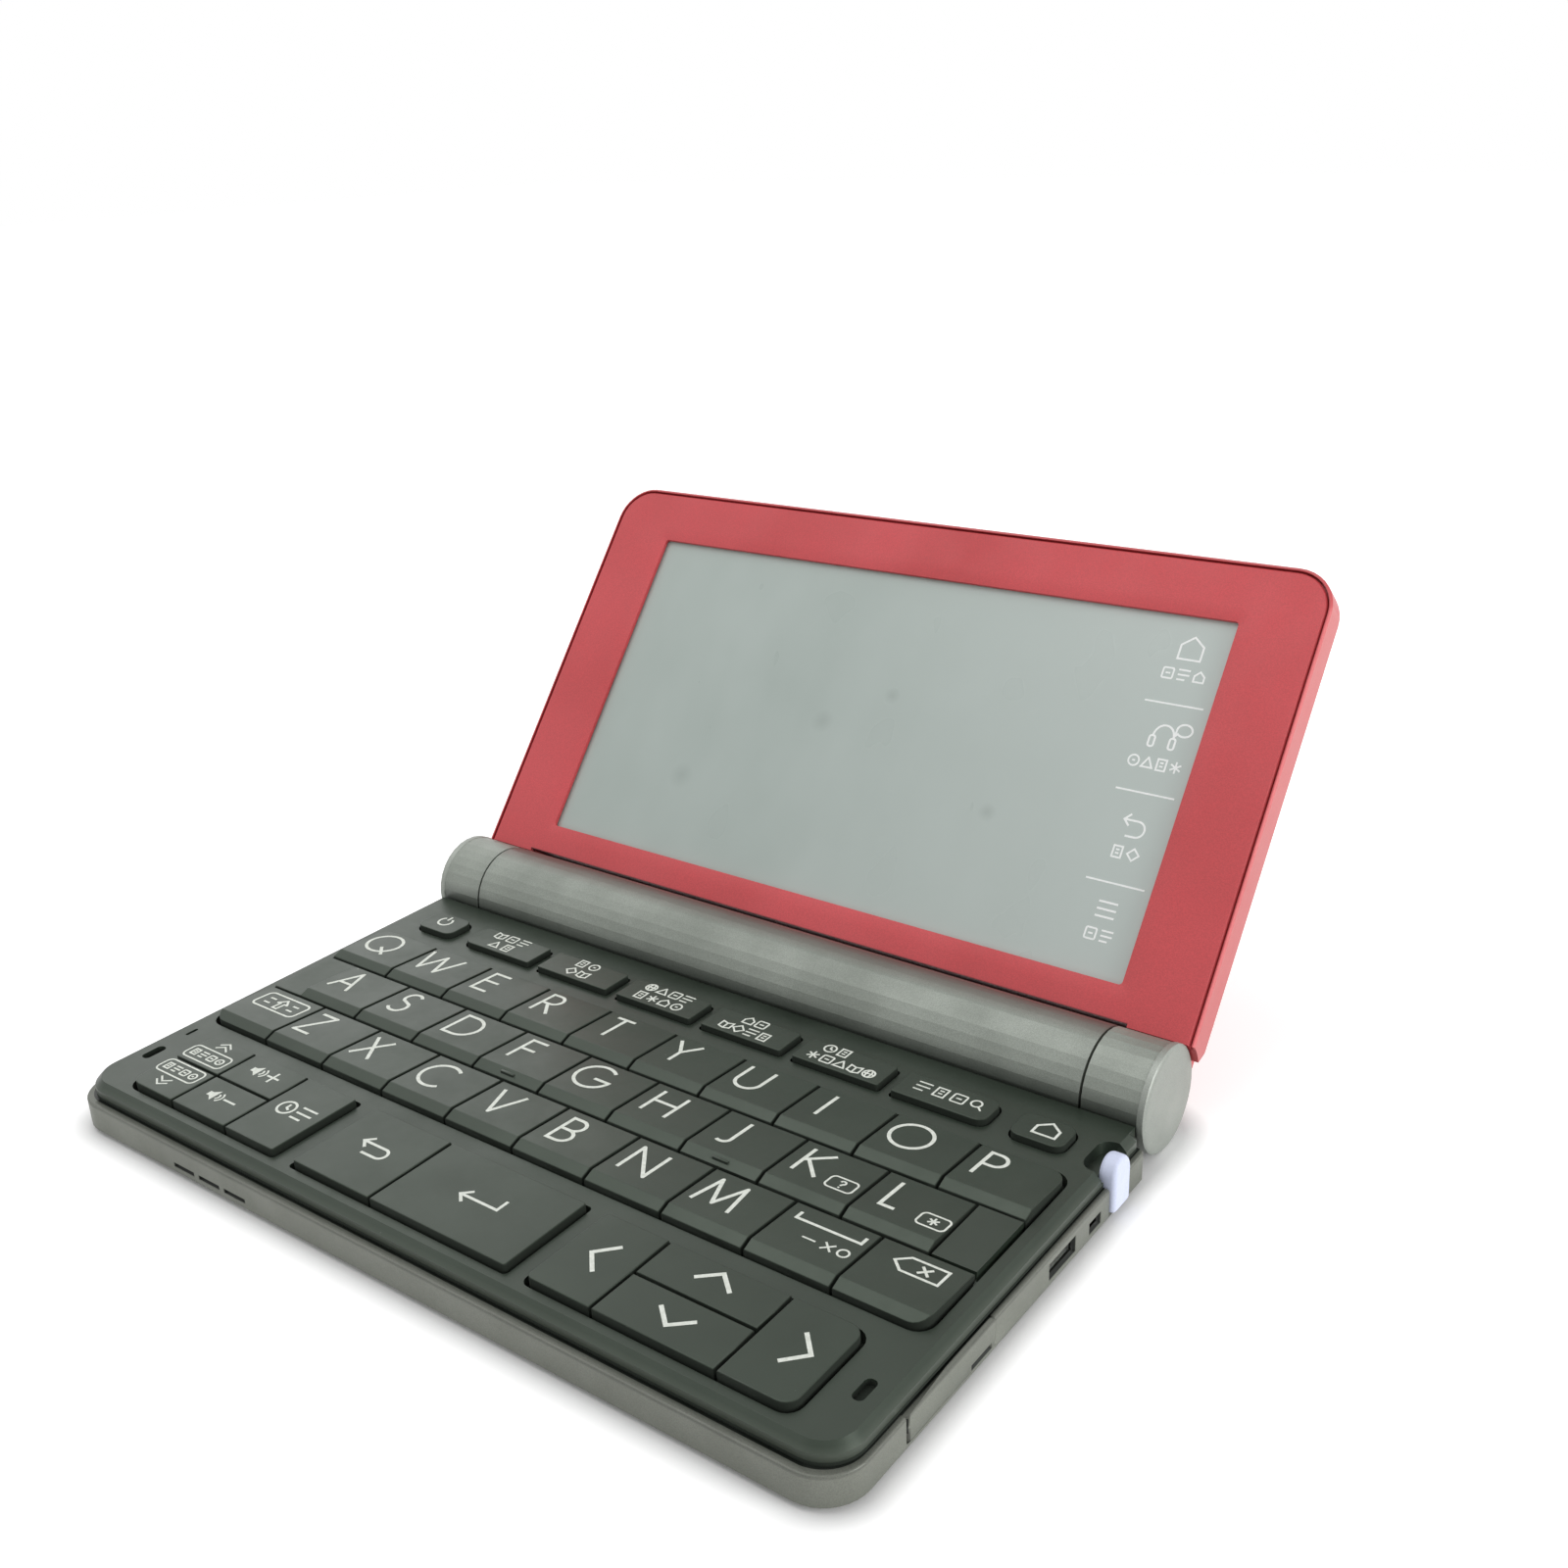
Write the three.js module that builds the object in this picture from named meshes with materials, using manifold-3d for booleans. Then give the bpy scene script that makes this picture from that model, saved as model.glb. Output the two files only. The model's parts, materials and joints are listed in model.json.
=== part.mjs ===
// Clamshell electronic dictionary, open on a table: keyboard half, battery barrel and lid with screen.
// Millimetres, +X right, +Y away from the user, +Z up.
import * as THREE from 'three';
import { mergeVertices } from 'three/addons/utils/BufferGeometryUtils.js';
import Module from 'manifold-3d';

const wasm = await Module();
wasm.setup();

// Lower case. Depths are measured back from its front face.
const caseWidth = 148;
const caseDepth = 77.9;
const caseCorner = 6.5;
const caseRearCorner = 1.2;
const footHeight = 0.5;
const footRadius = 4;
const footSideInset = 12;
const footFrontInset = 9;
const footRearInset = 11;
const barrelFootInset = 5.4;
const barrelFootRadius = 3.2;
const caseHeight = 4.9;
const caseWall = 1.6;
const floorThickness = 0.8;
const bottomChamfer = 0.35;
const rimChamfer = 0.3;
const caseZ = footHeight;
const floorZ = caseZ + floorThickness;
const rimZ = caseZ + caseHeight;
const sideX = caseWidth / 2;

// General clearances. One overrun carries every cut past the face it opens.
const slideGap = 0.3;
const seatGap = 0.2;
const overrun = 2;
const arcSteps = 5;
const wideArcSteps = 9;
const leastCornerShare = 0.1;

// Upper case, the dark deck round the keys.
const deckHeight = 2.7;
const deckInset = 1;
const deckFrontInset = 1.6;
const deckCorner = 5.6;
const deckChamfer = 1.1;
const deckPlate = 1.2;
const skirtWall = 1.6;
const deckZ = rimZ + deckHeight;
const wellFloor = 0.8;
const wellFloorZ = rimZ + wellFloor;
const wellWall = 1.1;
const wellGap = 0.35;

// Keys.
const keyTravel = 0.9;
const keyRise = 1;
const keyGap = 0.5;
const letterEdgeDrop = 0.35;
const ridgeRise = 0.7;
const ridgeSetback = 1.8;
const stemWidth = 3;
const stemDepth = 1.7;
const stemBottomGap = 1;
const hookReach = 0.6;
const hookHeight = 0.5;
const keyTopZ = deckZ + keyRise;
const letterEdgeZ = keyTopZ - letterEdgeDrop;
const ridgeZ = letterEdgeZ + ridgeRise;
const capZ = wellFloorZ + slideGap + keyTravel;
const hookTopZ = rimZ - slideGap;
const stemBottomZ = hookTopZ - hookHeight;
const homeBarWidth = 2.8;
const homeBarDepth = 0.5;
const homeBarInset = 0.9;

// Depth layout of the deck: front clusters, letter rows and function key row.
const clusterFrontY = 4.4;
const clusterGap = 3.7;
const topRowGap = 4;
const topRowInset = 11.5;
const letterRows = 3;
const clusterDepthShare = 0.2983;
const topRowY = caseDepth - topRowInset;
const keysDepth = topRowY - topRowGap - clusterGap - clusterFrontY;
const clusterDepth = keysDepth * clusterDepthShare;
const rowPitch = (keysDepth - clusterDepth) / letterRows;
const letterFrontY = clusterFrontY + clusterDepth + clusterGap;

// Letter block: three rows of ten pitches.
const letterSideInset = 4;
const lettersPerRow = 10;
const rowTwoShift = 6.8;
const letterCorner = 2.4;
const letterHalf = sideX - letterSideInset;
const keyPitch = (2 * letterHalf) / lettersPerRow;

// Function key row behind the letters, with a smaller key at each end.
const topKeyNames = ['words_1', 'words_2', 'words_3', 'words_4', 'words_5', 'contents'];
const topKeyDepth = 6.1;
const topKeyGap = 2.3;
const topKeyCorner = 1.7;
const endKeyWidth = 8.6;
const endKeyInset = 12.1;
const endKeyGap = 3.85;
const topStemSetback = 0.2;
const endKeyX = sideX - endKeyInset;
const topRowHalf = endKeyX - endKeyWidth / 2 - endKeyGap;
const topKeyPitch = (2 * topRowHalf + topKeyGap) / topKeyNames.length;
const topKeyWidth = topKeyPitch - topKeyGap;

// Control clusters in front of the letters. Their key widths and depths keep these proportions.
const clusterCorner = 2.1;
const leftArrowCorner = 1;
const innerCorner = 0.4;
const leftClusterInset = 10.25;
const leftClusterGap = 4.15;
const rightClusterGap = 3.3;
const rightClusterInset = 9.35;
const clusterWidthShares = {
  page: 10.95, volume: 13, history: 11.45, back: 16.55, enter: 26.55, left: 11.35, middle: 19.85, right: 11.25,
};
const clusterRowShares = { front: 8.5, rear: 7.7 };
const clusterRoom = caseWidth - leftClusterInset - leftClusterGap - rightClusterGap - rightClusterInset;

// Stylus, stored from the right side behind the function keys' stems.
const stylusLength = 94;
const stylusTip = 5;
const stylusNib = 0.5;
const stylusStemGap = 0.4;
const stylusFloorGap = 1.1;
const stylusRadius = (rimZ - floorZ - stylusFloorGap - seatGap) / 2;
const stylusY = topRowY + topStemSetback + stemDepth + stylusStemGap + stylusRadius;
const stylusZ = floorZ + stylusFloorGap + stylusRadius;
const tabThickness = 2.8;
const tabWidth = 5.05;
const tabSetback = 1;
const tabOutset = 0.7;
const tabHeadroom = 0.7;
const tabBottomGap = 0.6;
const scoopLength = 2.5;
const scoopDepth = 1.9;
const scoopWidth = 8;
const scoopCorner = 2.2;
const scoopSetback = 0.6;
const tabX = sideX + tabOutset - tabThickness;
const tabY = stylusY - tabSetback;
const scoopY = stylusY - scoopSetback;
const tabBottomZ = caseZ + tabBottomGap;

// Printed circuit board on posts.
const postRadius = 2.6;
const postSideInset = 10;
const postFrontY = 6.5;
const postRearInset = 16.4;
const boardThickness = 1;
const boardSideGap = 1.6;
const boardFrontGap = 1.8;
const boardRearGap = 0.4;
const domeRadius = 1.8;
const topDomeRadius = 0.8;
const domeHeight = 0.4;
const domeSides = 8;
const boardTopZ = stemBottomZ - stemBottomGap - domeHeight;
const boardZ = boardTopZ - boardThickness;
const boardRearY = stylusY - stylusRadius - boardRearGap;

// Openings in the right wall: charging socket, strap window and memory card slot.
const socketRearInset = 25.4;
const socketWidth = 7.6;
const socketHeight = 2.7;
const socketFloorGap = 0.2;
const socketDepth = 5.6;
const socketShell = 0.5;
const tongueWidth = 4.4;
const tongueHeight = 0.5;
const tongueLength = 3.8;
const socketY = caseDepth - socketRearInset;
const socketZ = floorZ + socketFloorGap;
const strapRearInset = 15.9;
const strapWidth = 3.6;
const strapHeight = 2;
const strapFloorGap = 0.2;
const strapHoleInset = 3.4;
const strapHoleDepth = 2.4;
const strapY = caseDepth - strapRearInset;
const strapZ = floorZ + strapFloorGap;
const flapY = 13.9;
const flapLength = 20.8;
const sillHeight = 0.7;
const flapPinRadius = 0.45;
const flapNailWidth = 5;
const flapNailDepth = 0.5;
const cardSlotMargin = 1.7;
const cardSlotHeight = 1;
const cardSocketDepth = 12;
const cardSocketWall = 0.7;
const clusterStemY = clusterFrontY + clusterDepth / 2;
const letterStemY = letterFrontY + rowPitch / 2;
const cardSlotY = (clusterStemY + letterStemY) / 2;
const cardSlotWidth = letterStemY - clusterStemY - stemDepth - 2 * (cardSocketWall + cardSlotMargin);
const cardSocketTopZ = rimZ - slideGap;

// Loudspeaker slots in the front wall.
const speakerSlots = 3;
const speakerInset = 26.5;
const speakerPitch = 6.05;
const speakerWidth = 5;
const speakerHeight = 0.8;
const speakerFloorGap = 0.4;

// Deck details: two small pockets and a slit.
const pocketWidth = 1.7;
const pocketLength = 4;
const pocketDepth = 1;
const pocketInset = 4.8;
const pocketY = 12.6;
const slitLength = 2.2;
const slitWidth = 0.6;
const slitInset = 4.5;
const slitY = 20;

// Battery barrel across the back, with flat facets along its length.
const barrelRadius = 8.3;
const barrelGap = 0.9;
const barrelFacets = 30;
const barrelFloorGap = 0.2;
const barrelWall = 0.95;
const barrelPlug = 10.2;
const bridgeOverlap = 2.7;
const doorEndInset = 1.4;
const doorFrontFacets = -11;
const doorBackFacets = 1;
const doorWall = 0.9;
const cellGap = 0.3;
const cellNubRadius = 2.75;
const cellNubLength = 1;
const contactRadius = 3;
const contactLength = 0.6;

// End knuckles, which turn with the lid.
const knuckleGap = 0.4;
const knuckleInset = 0.6;
const knuckleLength = 10.4;
const capRimRise = 0.15;
const capRimWidth = 1.6;
const capDome = 0.5;
const pinRadius = 3;
const pinLength = 5;
const armReach = 3.4;
const armSideGap = 1;

// Places along and round the barrel, from the knuckles in to the battery bay.
const knuckleOuterX = sideX - knuckleInset;
const knuckleInnerX = knuckleOuterX - knuckleLength;
const barrelHalf = knuckleInnerX - knuckleGap;
const bayHalf = barrelHalf - barrelPlug;
const doorHalf = bayHalf - doorEndInset;
const cellLength = bayHalf - contactLength - slideGap - cellNubLength;
const bayRadius = barrelRadius - barrelWall;
const cellRadius = bayRadius - cellGap;
const capRimRadius = barrelRadius + capRimRise;
const barrelY = caseDepth + barrelGap + barrelRadius;
const barrelZ = barrelFloorGap + barrelRadius;

// Lid, drawn lying open flat behind the barrel with its screen up, then turned up.
const lidAngle = 51.1;
const lidFrontInset = 0.3;
const lidCorner = 7;
const lidFootCorner = 1.6;
const lidClosedGap = 0.9;
const lidBarrelGap = 0.8;
const bezelThickness = 1.2;
const coverThickness = 4.8;
const coverWall = 1.6;
const coverFloor = 1.1;
const coverEdge = 0.6;
const coverEdgeInset = 0.5;
const coverBack = 0.4;
const coverBackInset = 1.2;
const coverRim = 0.5;
const bezelInset = coverRim + slideGap;
const lidHeelDrop = 4.7;
const windowSideInset = 14;
const windowFootInset = 5.6;
const windowTopInset = 10.4;
const windowCorner = 0.6;
const windowBevel = 2.6;
const windowBevelDepth = 0.5;
const windowBevelCorner = 2.6;
const screenMargin = 2.4;
const screenThickness = 2.5;
const padSize = 6;
const lidLength = barrelY - lidFrontInset;
const lidFootY = barrelRadius + lidBarrelGap;
const lidHeelY = lidFootY - lidHeelDrop;
const windowHalf = sideX - windowSideInset;
const windowBottomY = lidFootY + windowFootInset;
const windowTopY = lidLength - windowTopInset;
const closedFaceZ = keyTopZ + lidClosedGap;
const lidFaceDrop = closedFaceZ - barrelZ;
const bezelZ = -lidFaceDrop - bezelThickness;
const coverZ = bezelZ - seatGap - coverThickness;

// Colours, roughness and metalness of each finish.
const finishes = {
  case: [0x8b887e, 0.42, 0.55],
  deck: [0x4a504a, 0.55, 0.05],
  key: [0x50564e, 0.5, 0.05],
  barrel: [0x8c918a, 0.38, 0.6],
  lid: [0xb8323f, 0.4, 0.15],
  bezel: [0xc0474f, 0.45, 0.1],
  screen: [0xacb6b2, 0.18, 0],
  board: [0x2f6b45, 0.6, 0.1],
  cell: [0x3d4a6b, 0.45, 0.3],
  stylus: [0xcdd4eb, 0.4, 0],
};

const group = new THREE.Group();
const lid = new THREE.Group();

// Basic solids

function solid(geometry) {
  const bare = geometry.clone();
  bare.deleteAttribute('normal');
  bare.deleteAttribute('uv');
  const merged = mergeVertices(bare);
  return new wasm.Manifold(new wasm.Mesh({
    numProp: 3,
    vertProperties: new Float32Array(merged.attributes.position.array),
    triVerts: new Uint32Array(merged.index.array),
  }));
}

function box(x0, x1, y0, y1, z0, z1) {
  const geometry = new THREE.BoxGeometry(x1 - x0, y1 - y0, z1 - z0);
  geometry.translate((x0 + x1) / 2, (y0 + y1) / 2, (z0 + z1) / 2);
  return solid(geometry);
}

function extrusion(points, depth) {
  return new THREE.ExtrudeGeometry(new THREE.Shape(points), { depth, bevelEnabled: false });
}

// A straight prism of a plan outline between two heights.
function plate(points, z0, z1) {
  const geometry = extrusion(points, z1 - z0);
  geometry.translate(0, 0, z0);
  return solid(geometry);
}

// A prism along X whose section is drawn in Y and Z.
function alongX(points, x0, x1) {
  const geometry = extrusion(points, x1 - x0);
  const turn = new THREE.Matrix4().makeBasis(
    new THREE.Vector3(0, 1, 0), new THREE.Vector3(0, 0, 1), new THREE.Vector3(1, 0, 0));
  geometry.applyMatrix4(turn);
  geometry.translate(x0, 0, 0);
  return solid(geometry);
}

function post(x, y, z0, z1, radius, sides = 16) {
  const geometry = new THREE.CylinderGeometry(radius, radius, z1 - z0, sides);
  geometry.rotateX(Math.PI / 2);
  geometry.translate(x, y, (z0 + z1) / 2);
  return solid(geometry);
}

function rod(x0, x1, y, z, radius, sides) {
  return alongX(circle(radius, sides, y, z), x0, x1);
}

function circle(radius, sides, cx = 0, cy = 0) {
  return Array.from({ length: sides }, (_, i) => {
    const angle = (i / sides) * 2 * Math.PI;
    return new THREE.Vector2(cx + radius * Math.cos(angle), cy + radius * Math.sin(angle));
  });
}

// A turned piece about the X axis, from pairs of place along X and radius.
function turned(profile, y, z, sides) {
  const points = profile.map(([x, radius]) => new THREE.Vector2(radius, x));
  const geometry = new THREE.LatheGeometry(points, sides);
  geometry.rotateZ(-Math.PI / 2);
  geometry.translate(0, y, z);
  return solid(geometry);
}

// A rectangle with its own radius at each corner: front left, front right, back right, back left.
function roundedOutline(x0, x1, y0, y1, radii, steps = arcSteps) {
  const corners = [[x0, y0, 1, 1, 180], [x1, y0, -1, 1, 270], [x1, y1, -1, -1, 0], [x0, y1, 1, -1, 90]];
  return corners.flatMap(([x, y, sx, sy, start], corner) => {
    const radius = radii[corner];
    if (radius <= 0) return [new THREE.Vector2(x, y)];
    return Array.from({ length: steps + 1 }, (_, i) => {
      const angle = THREE.MathUtils.degToRad(start + (90 * i) / steps);
      return new THREE.Vector2(
        x + sx * radius + radius * Math.cos(angle), y + sy * radius + radius * Math.sin(angle));
    });
  });
}

// A closed body skinned over plan rings of equal point count, from the bottom up.
function loft(rings) {
  const count = rings[0].points.length;
  const positions = rings.flatMap(({ points, z }) => points.flatMap((p) => [p.x, p.y, z]));
  const index = [];
  const cap = THREE.ShapeUtils.triangulateShape(rings[0].points, []);
  const last = (rings.length - 1) * count;
  for (const [a, b, c] of cap) index.push(c, b, a, last + a, last + b, last + c);
  for (let ring = 0; ring + 1 < rings.length; ring++) {
    for (let i = 0; i < count; i++) {
      const a = ring * count + i;
      const b = ring * count + ((i + 1) % count);
      index.push(a, b, b + count, a, b + count, a + count);
    }
  }
  const geometry = new THREE.BufferGeometry();
  geometry.setAttribute('position', new THREE.Float32BufferAttribute(positions, 3));
  geometry.setIndex(index);
  return solid(geometry);
}

// A rounded slab whose outline draws in by the given inset at each height.
function roundedSlab(x0, x1, y0, y1, radii, layers) {
  return loft(layers.map(([z, inset]) => ({
    z,
    points: roundedOutline(x0 + inset, x1 - inset, y0 + inset, y1 - inset,
      radii.map((radius) => Math.max(radius - inset, radius * leastCornerShare)), wideArcSteps),
  })));
}

function union(solids) {
  return solids.reduce((whole, piece) => whole.add(piece));
}

function addPiece(parent, name, body, finish) {
  const mesh = body.getMesh();
  const geometry = new THREE.BufferGeometry();
  geometry.setAttribute('position', new THREE.BufferAttribute(new Float32Array(mesh.vertProperties), 3));
  geometry.setIndex(new THREE.BufferAttribute(new Uint32Array(mesh.triVerts), 1));
  geometry.computeVertexNormals();
  const [color, roughness, metalness] = finishes[finish];
  const material = new THREE.MeshStandardMaterial({ color, roughness, metalness, flatShading: true });
  const piece = new THREE.Mesh(geometry, material);
  piece.name = name;
  parent.add(piece);
  return piece;
}

// Key layout: every key has a name, its cell in the plan and its corner radii. Letter keys have a ridge.

function letterRow(row, names, firstWidth, corners) {
  const y0 = letterFrontY + row * rowPitch;
  let x0 = -letterHalf;
  return names.map((name, i) => {
    const width = i === 0 ? firstWidth : keyPitch;
    const key = { name, x0, x1: x0 + width, y0, y1: y0 + rowPitch, radii: [0, 0, 0, 0] };
    if (i === 0) key.radii = corners.first;
    if (i === lettersPerRow - 1) key.radii = corners.last;
    key.ridgeX = x0 + width - keyPitch;
    x0 += width;
    return key;
  });
}

function letterKeys() {
  const square = [0, 0, 0, 0];
  const c = letterCorner;
  const frontNames = ['shift', ...'zxcvbnm', 'space', 'delete'];
  return [
    ...letterRow(0, frontNames, keyPitch, { first: [c, 0, 0, 0], last: [0, c, 0, 0] }),
    ...letterRow(1, [...'asdfghjkl'], rowTwoShift + keyPitch, { first: square, last: square }),
    ...letterRow(2, [...'qwertyuiop'], keyPitch, { first: [0, 0, 0, c], last: [0, 0, c, 0] }),
  ];
}

function topKeys() {
  const row = topKeyNames.map((name, i) => {
    const x0 = -topRowHalf + i * topKeyPitch;
    const left = i === 0 ? topKeyCorner : innerCorner;
    const right = i === topKeyNames.length - 1 ? topKeyCorner : innerCorner;
    return { name, x0, x1: x0 + topKeyWidth, radii: [left, right, right, left] };
  });
  for (const [name, x] of [['power', -endKeyX], ['home', endKeyX]]) {
    const radii = Array(4).fill(topKeyCorner);
    row.push({ name, x0: x - endKeyWidth / 2, x1: x + endKeyWidth / 2, radii });
  }
  return row.map((key) => ({ ...key, y0: topRowY, y1: topRowY + topKeyDepth, top: true }));
}

function clusterKeys() {
  const [c, left, inner] = [clusterCorner, leftArrowCorner, innerCorner];
  const total = Object.values(clusterWidthShares).reduce((sum, share) => sum + share);
  const width = (name) => (clusterRoom * clusterWidthShares[name]) / total;
  const front = clusterFrontY;
  const { front: frontShare, rear: rearShare } = clusterRowShares;
  const split = front + (clusterDepth * frontShare) / (frontShare + rearShare);
  const back = front + clusterDepth;
  const leftClusterX = -sideX + leftClusterInset;
  const pageX = leftClusterX + width('page');
  const volumeX = pageX + width('volume');
  const historyX = volumeX + width('history');
  const middleClusterX = historyX + leftClusterGap;
  const backX = middleClusterX + width('back');
  const enterX = backX + width('enter');
  const arrowClusterX = enterX + rightClusterGap;
  const leftX = arrowClusterX + width('left');
  const middleX = leftX + width('middle');
  const rightX = middleX + width('right');
  return [
    ['previous', leftClusterX, pageX, split, back, [0, 0, 0, c]],
    ['next', leftClusterX, pageX, front, split, [c, 0, 0, 0]],
    ['volume_up', pageX, volumeX, split, back, [0, 0, 0, 0]],
    ['volume_down', pageX, volumeX, front, split, [0, 0, 0, 0]],
    ['history', volumeX, historyX, front, back, [0, inner, inner, 0]],
    ['back', middleClusterX, backX, front, back, [inner, 0, 0, inner]],
    ['enter', backX, enterX, front, back, [0, inner, inner, 0]],
    ['left', arrowClusterX, leftX, front, back, [left, 0, 0, left]],
    ['up', leftX, middleX, split, back, [0, 0, 0, 0]],
    ['down', leftX, middleX, front, split, [0, 0, 0, 0]],
    ['right', middleX, rightX, front, back, [0, c, c, 0]],
  ].map(([name, x0, x1, y0, y1, radii]) => ({ name, x0, x1, y0, y1, radii }));
}

// Keys that stand alone fill their cell; the others leave half a gap on each side.
function capCell(key) {
  const trim = key.top ? 0 : keyGap / 2;
  return { x0: key.x0 + trim, x1: key.x1 - trim, y0: key.y0 + trim, y1: key.y1 - trim };
}

function stemPlace(key) {
  const x = ((key.ridgeX ?? key.x0) + key.x1) / 2;
  const y = key.top ? key.y0 + topStemSetback + stemDepth / 2 : (key.y0 + key.y1) / 2;
  return { x, y };
}

function flatSection(y0, y1, topZ) {
  return [[y0, capZ], [y1, capZ], [y1, topZ], [y0, topZ]].map(([y, z]) => new THREE.Vector2(y, z));
}

// Section of a letter key: the top climbs from the back edge to a ridge, then falls to the front edge.
function ridgeSection(y0, y1) {
  const points = [[y0, capZ], [y1, capZ], [y1, letterEdgeZ], [y0 + ridgeSetback, ridgeZ], [y0, letterEdgeZ]];
  return points.map(([y, z]) => new THREE.Vector2(y, z));
}

function keyCap(key) {
  const { x0, x1, y0, y1 } = capCell(key);
  let cap;
  if (key.ridgeX === undefined) cap = alongX(flatSection(y0, y1, keyTopZ), x0, x1);
  else cap = alongX(ridgeSection(y0, y1), Math.max(key.ridgeX, x0), x1);
  if (key.ridgeX > x0) cap = cap.add(alongX(flatSection(y0, y1, letterEdgeZ), x0, key.ridgeX));
  if (key.radii.every((radius) => radius === 0)) return cap;
  return cap.intersect(plate(roundedOutline(x0, x1, y0, y1, key.radii), capZ - overrun, ridgeZ + overrun));
}

// Stem with two snap hooks that catch under the well floor.
function keyStem(key) {
  const { x, y } = stemPlace(key);
  const half = stemWidth / 2;
  const front = y - stemDepth / 2;
  const back = y + stemDepth / 2;
  const stem = box(x - half, x + half, front, back, stemBottomZ, capZ + slideGap);
  return stem.add(box(x - half - hookReach, x + half + hookReach, front, back, stemBottomZ, hookTopZ));
}

function homeBar(key) {
  const { x } = stemPlace(key);
  const y = key.y0 + homeBarInset;
  return box(x - homeBarWidth / 2, x + homeBarWidth / 2, y, y + homeBarDepth, capZ + slideGap, ridgeZ);
}

function keyBody(key) {
  const body = keyCap(key).add(keyStem(key));
  return ['f', 'j'].includes(key.name) ? body.add(homeBar(key)) : body;
}

// Lower case

function caseShell() {
  const radii = [caseCorner, caseCorner, caseRearCorner, caseRearCorner];
  const outer = roundedSlab(-sideX, sideX, 0, caseDepth, radii, [
    [caseZ, bottomChamfer], [caseZ + bottomChamfer, 0], [rimZ - rimChamfer, 0], [rimZ, rimChamfer]]);
  const inner = roundedOutline(-sideX + caseWall, sideX - caseWall, caseWall, caseDepth - caseWall,
    radii.map((radius) => Math.max(radius - caseWall, 0)), wideArcSteps);
  return outer.subtract(plate(inner, floorZ, rimZ + overrun));
}

function caseFeet() {
  const x = sideX - footSideInset;
  return [footFrontInset, caseDepth - footRearInset].flatMap((y) =>
    [-x, x].map((side) => post(side, y, 0, floorZ, footRadius)));
}

// Thin pads under the ends of the barrel, which carry the weight of the open lid.
function barrelFeet() {
  const x = barrelHalf - barrelFootInset;
  return [-x, x].map((side) => post(side, barrelY, 0, barrelFloorGap + barrelWall, barrelFootRadius));
}

function boardPosts() {
  const side = sideX - postSideInset;
  return [postFrontY, caseDepth - postRearInset].flatMap((y) =>
    [-side, 0, side].map((x) => post(x, y, caseZ + floorThickness / 2, boardZ, postRadius, 12)));
}

function sideWindow(y, width, z0, height) {
  return box(sideX - caseWall - overrun, sideX + overrun, y - width / 2, y + width / 2, z0, z0 + height);
}

function strapHole() {
  const x = sideX - strapHoleInset;
  const half = strapWidth / 2;
  return box(x - strapHoleDepth, x, strapY - half, strapY + half, caseZ - overrun, floorZ + overrun);
}

// Opening for the card flap, with a sill that takes the flap's pivot pin.
function flapOpening() {
  const x = sideX - caseWall - overrun;
  return box(x, sideX + overrun, flapY, flapY + flapLength, caseZ + sillHeight, rimZ + overrun);
}

function flapPinHole() {
  const y = flapY + seatGap + caseWall / 2;
  const z = caseZ + sillHeight + seatGap;
  return post(sideX - caseWall / 2, y, caseZ - overrun, z, flapPinRadius + seatGap, 12);
}

function flapSill() {
  return box(sideX - caseWall - seatGap, sideX - caseWall + rimChamfer, flapY, flapY + flapLength,
    caseZ, caseZ + sillHeight);
}

function speakerOpenings() {
  return Array.from({ length: speakerSlots }, (_, i) => {
    const x0 = -sideX + speakerInset + i * speakerPitch;
    const z0 = floorZ + speakerFloorGap;
    return box(x0, x0 + speakerWidth, -overrun, caseWall + overrun, z0, z0 + speakerHeight);
  });
}

// Bore of the stylus channel and the recess for its tab in the right wall.
function stylusOpenings(top) {
  const x = sideX - caseWall - overrun;
  const bore = rod(x, sideX + overrun, stylusY, stylusZ, stylusRadius + slideGap, 16);
  const recess = box(tabX - slideGap, sideX + overrun, tabY - tabWidth / 2 - slideGap,
    tabY + tabWidth / 2 + slideGap, tabBottomZ - slideGap, top + overrun);
  return bore.add(recess);
}

// Barrel tube with its battery bay, hinge bores and the opening for the battery cover.

function ringSector(inner, outer, startAngle, endAngle, x0, x1) {
  const steps = Math.max(2, Math.round(((endAngle - startAngle) / (2 * Math.PI)) * barrelFacets));
  const arc = (radius, forward) => Array.from({ length: steps + 1 }, (_, i) => {
    const share = forward ? i / steps : 1 - i / steps;
    const angle = startAngle + (endAngle - startAngle) * share;
    return new THREE.Vector2(barrelY + radius * Math.cos(angle), barrelZ + radius * Math.sin(angle));
  });
  return alongX([...arc(outer, true), ...arc(inner, false)], x0, x1);
}

const facetAngle = (2 * Math.PI) / barrelFacets;
const doorStart = doorFrontFacets * facetAngle;
const doorEnd = doorBackFacets * facetAngle;

function batteryContacts() {
  return [-1, 1].map((side) => {
    const outer = side * (bayHalf + overrun);
    const inner = side * (bayHalf - contactLength);
    return rod(Math.min(outer, inner), Math.max(outer, inner), barrelY, barrelZ, contactRadius, 12);
  });
}

function barrelTube() {
  const bores = [-1, 1].map((side) => {
    const ends = [side * (barrelHalf + overrun), side * (barrelHalf - pinLength - slideGap)];
    return rod(Math.min(...ends), Math.max(...ends), barrelY, barrelZ, pinRadius + slideGap, 20);
  });
  return rod(-barrelHalf, barrelHalf, barrelY, barrelZ, barrelRadius, barrelFacets).subtract(union(bores));
}

// Web between the case and the front of the barrel.
function barrelBridge() {
  const backY = caseDepth + barrelGap + bridgeOverlap;
  return box(-barrelHalf, barrelHalf, caseDepth - caseWall, backY, caseZ + bottomChamfer, rimZ);
}

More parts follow.
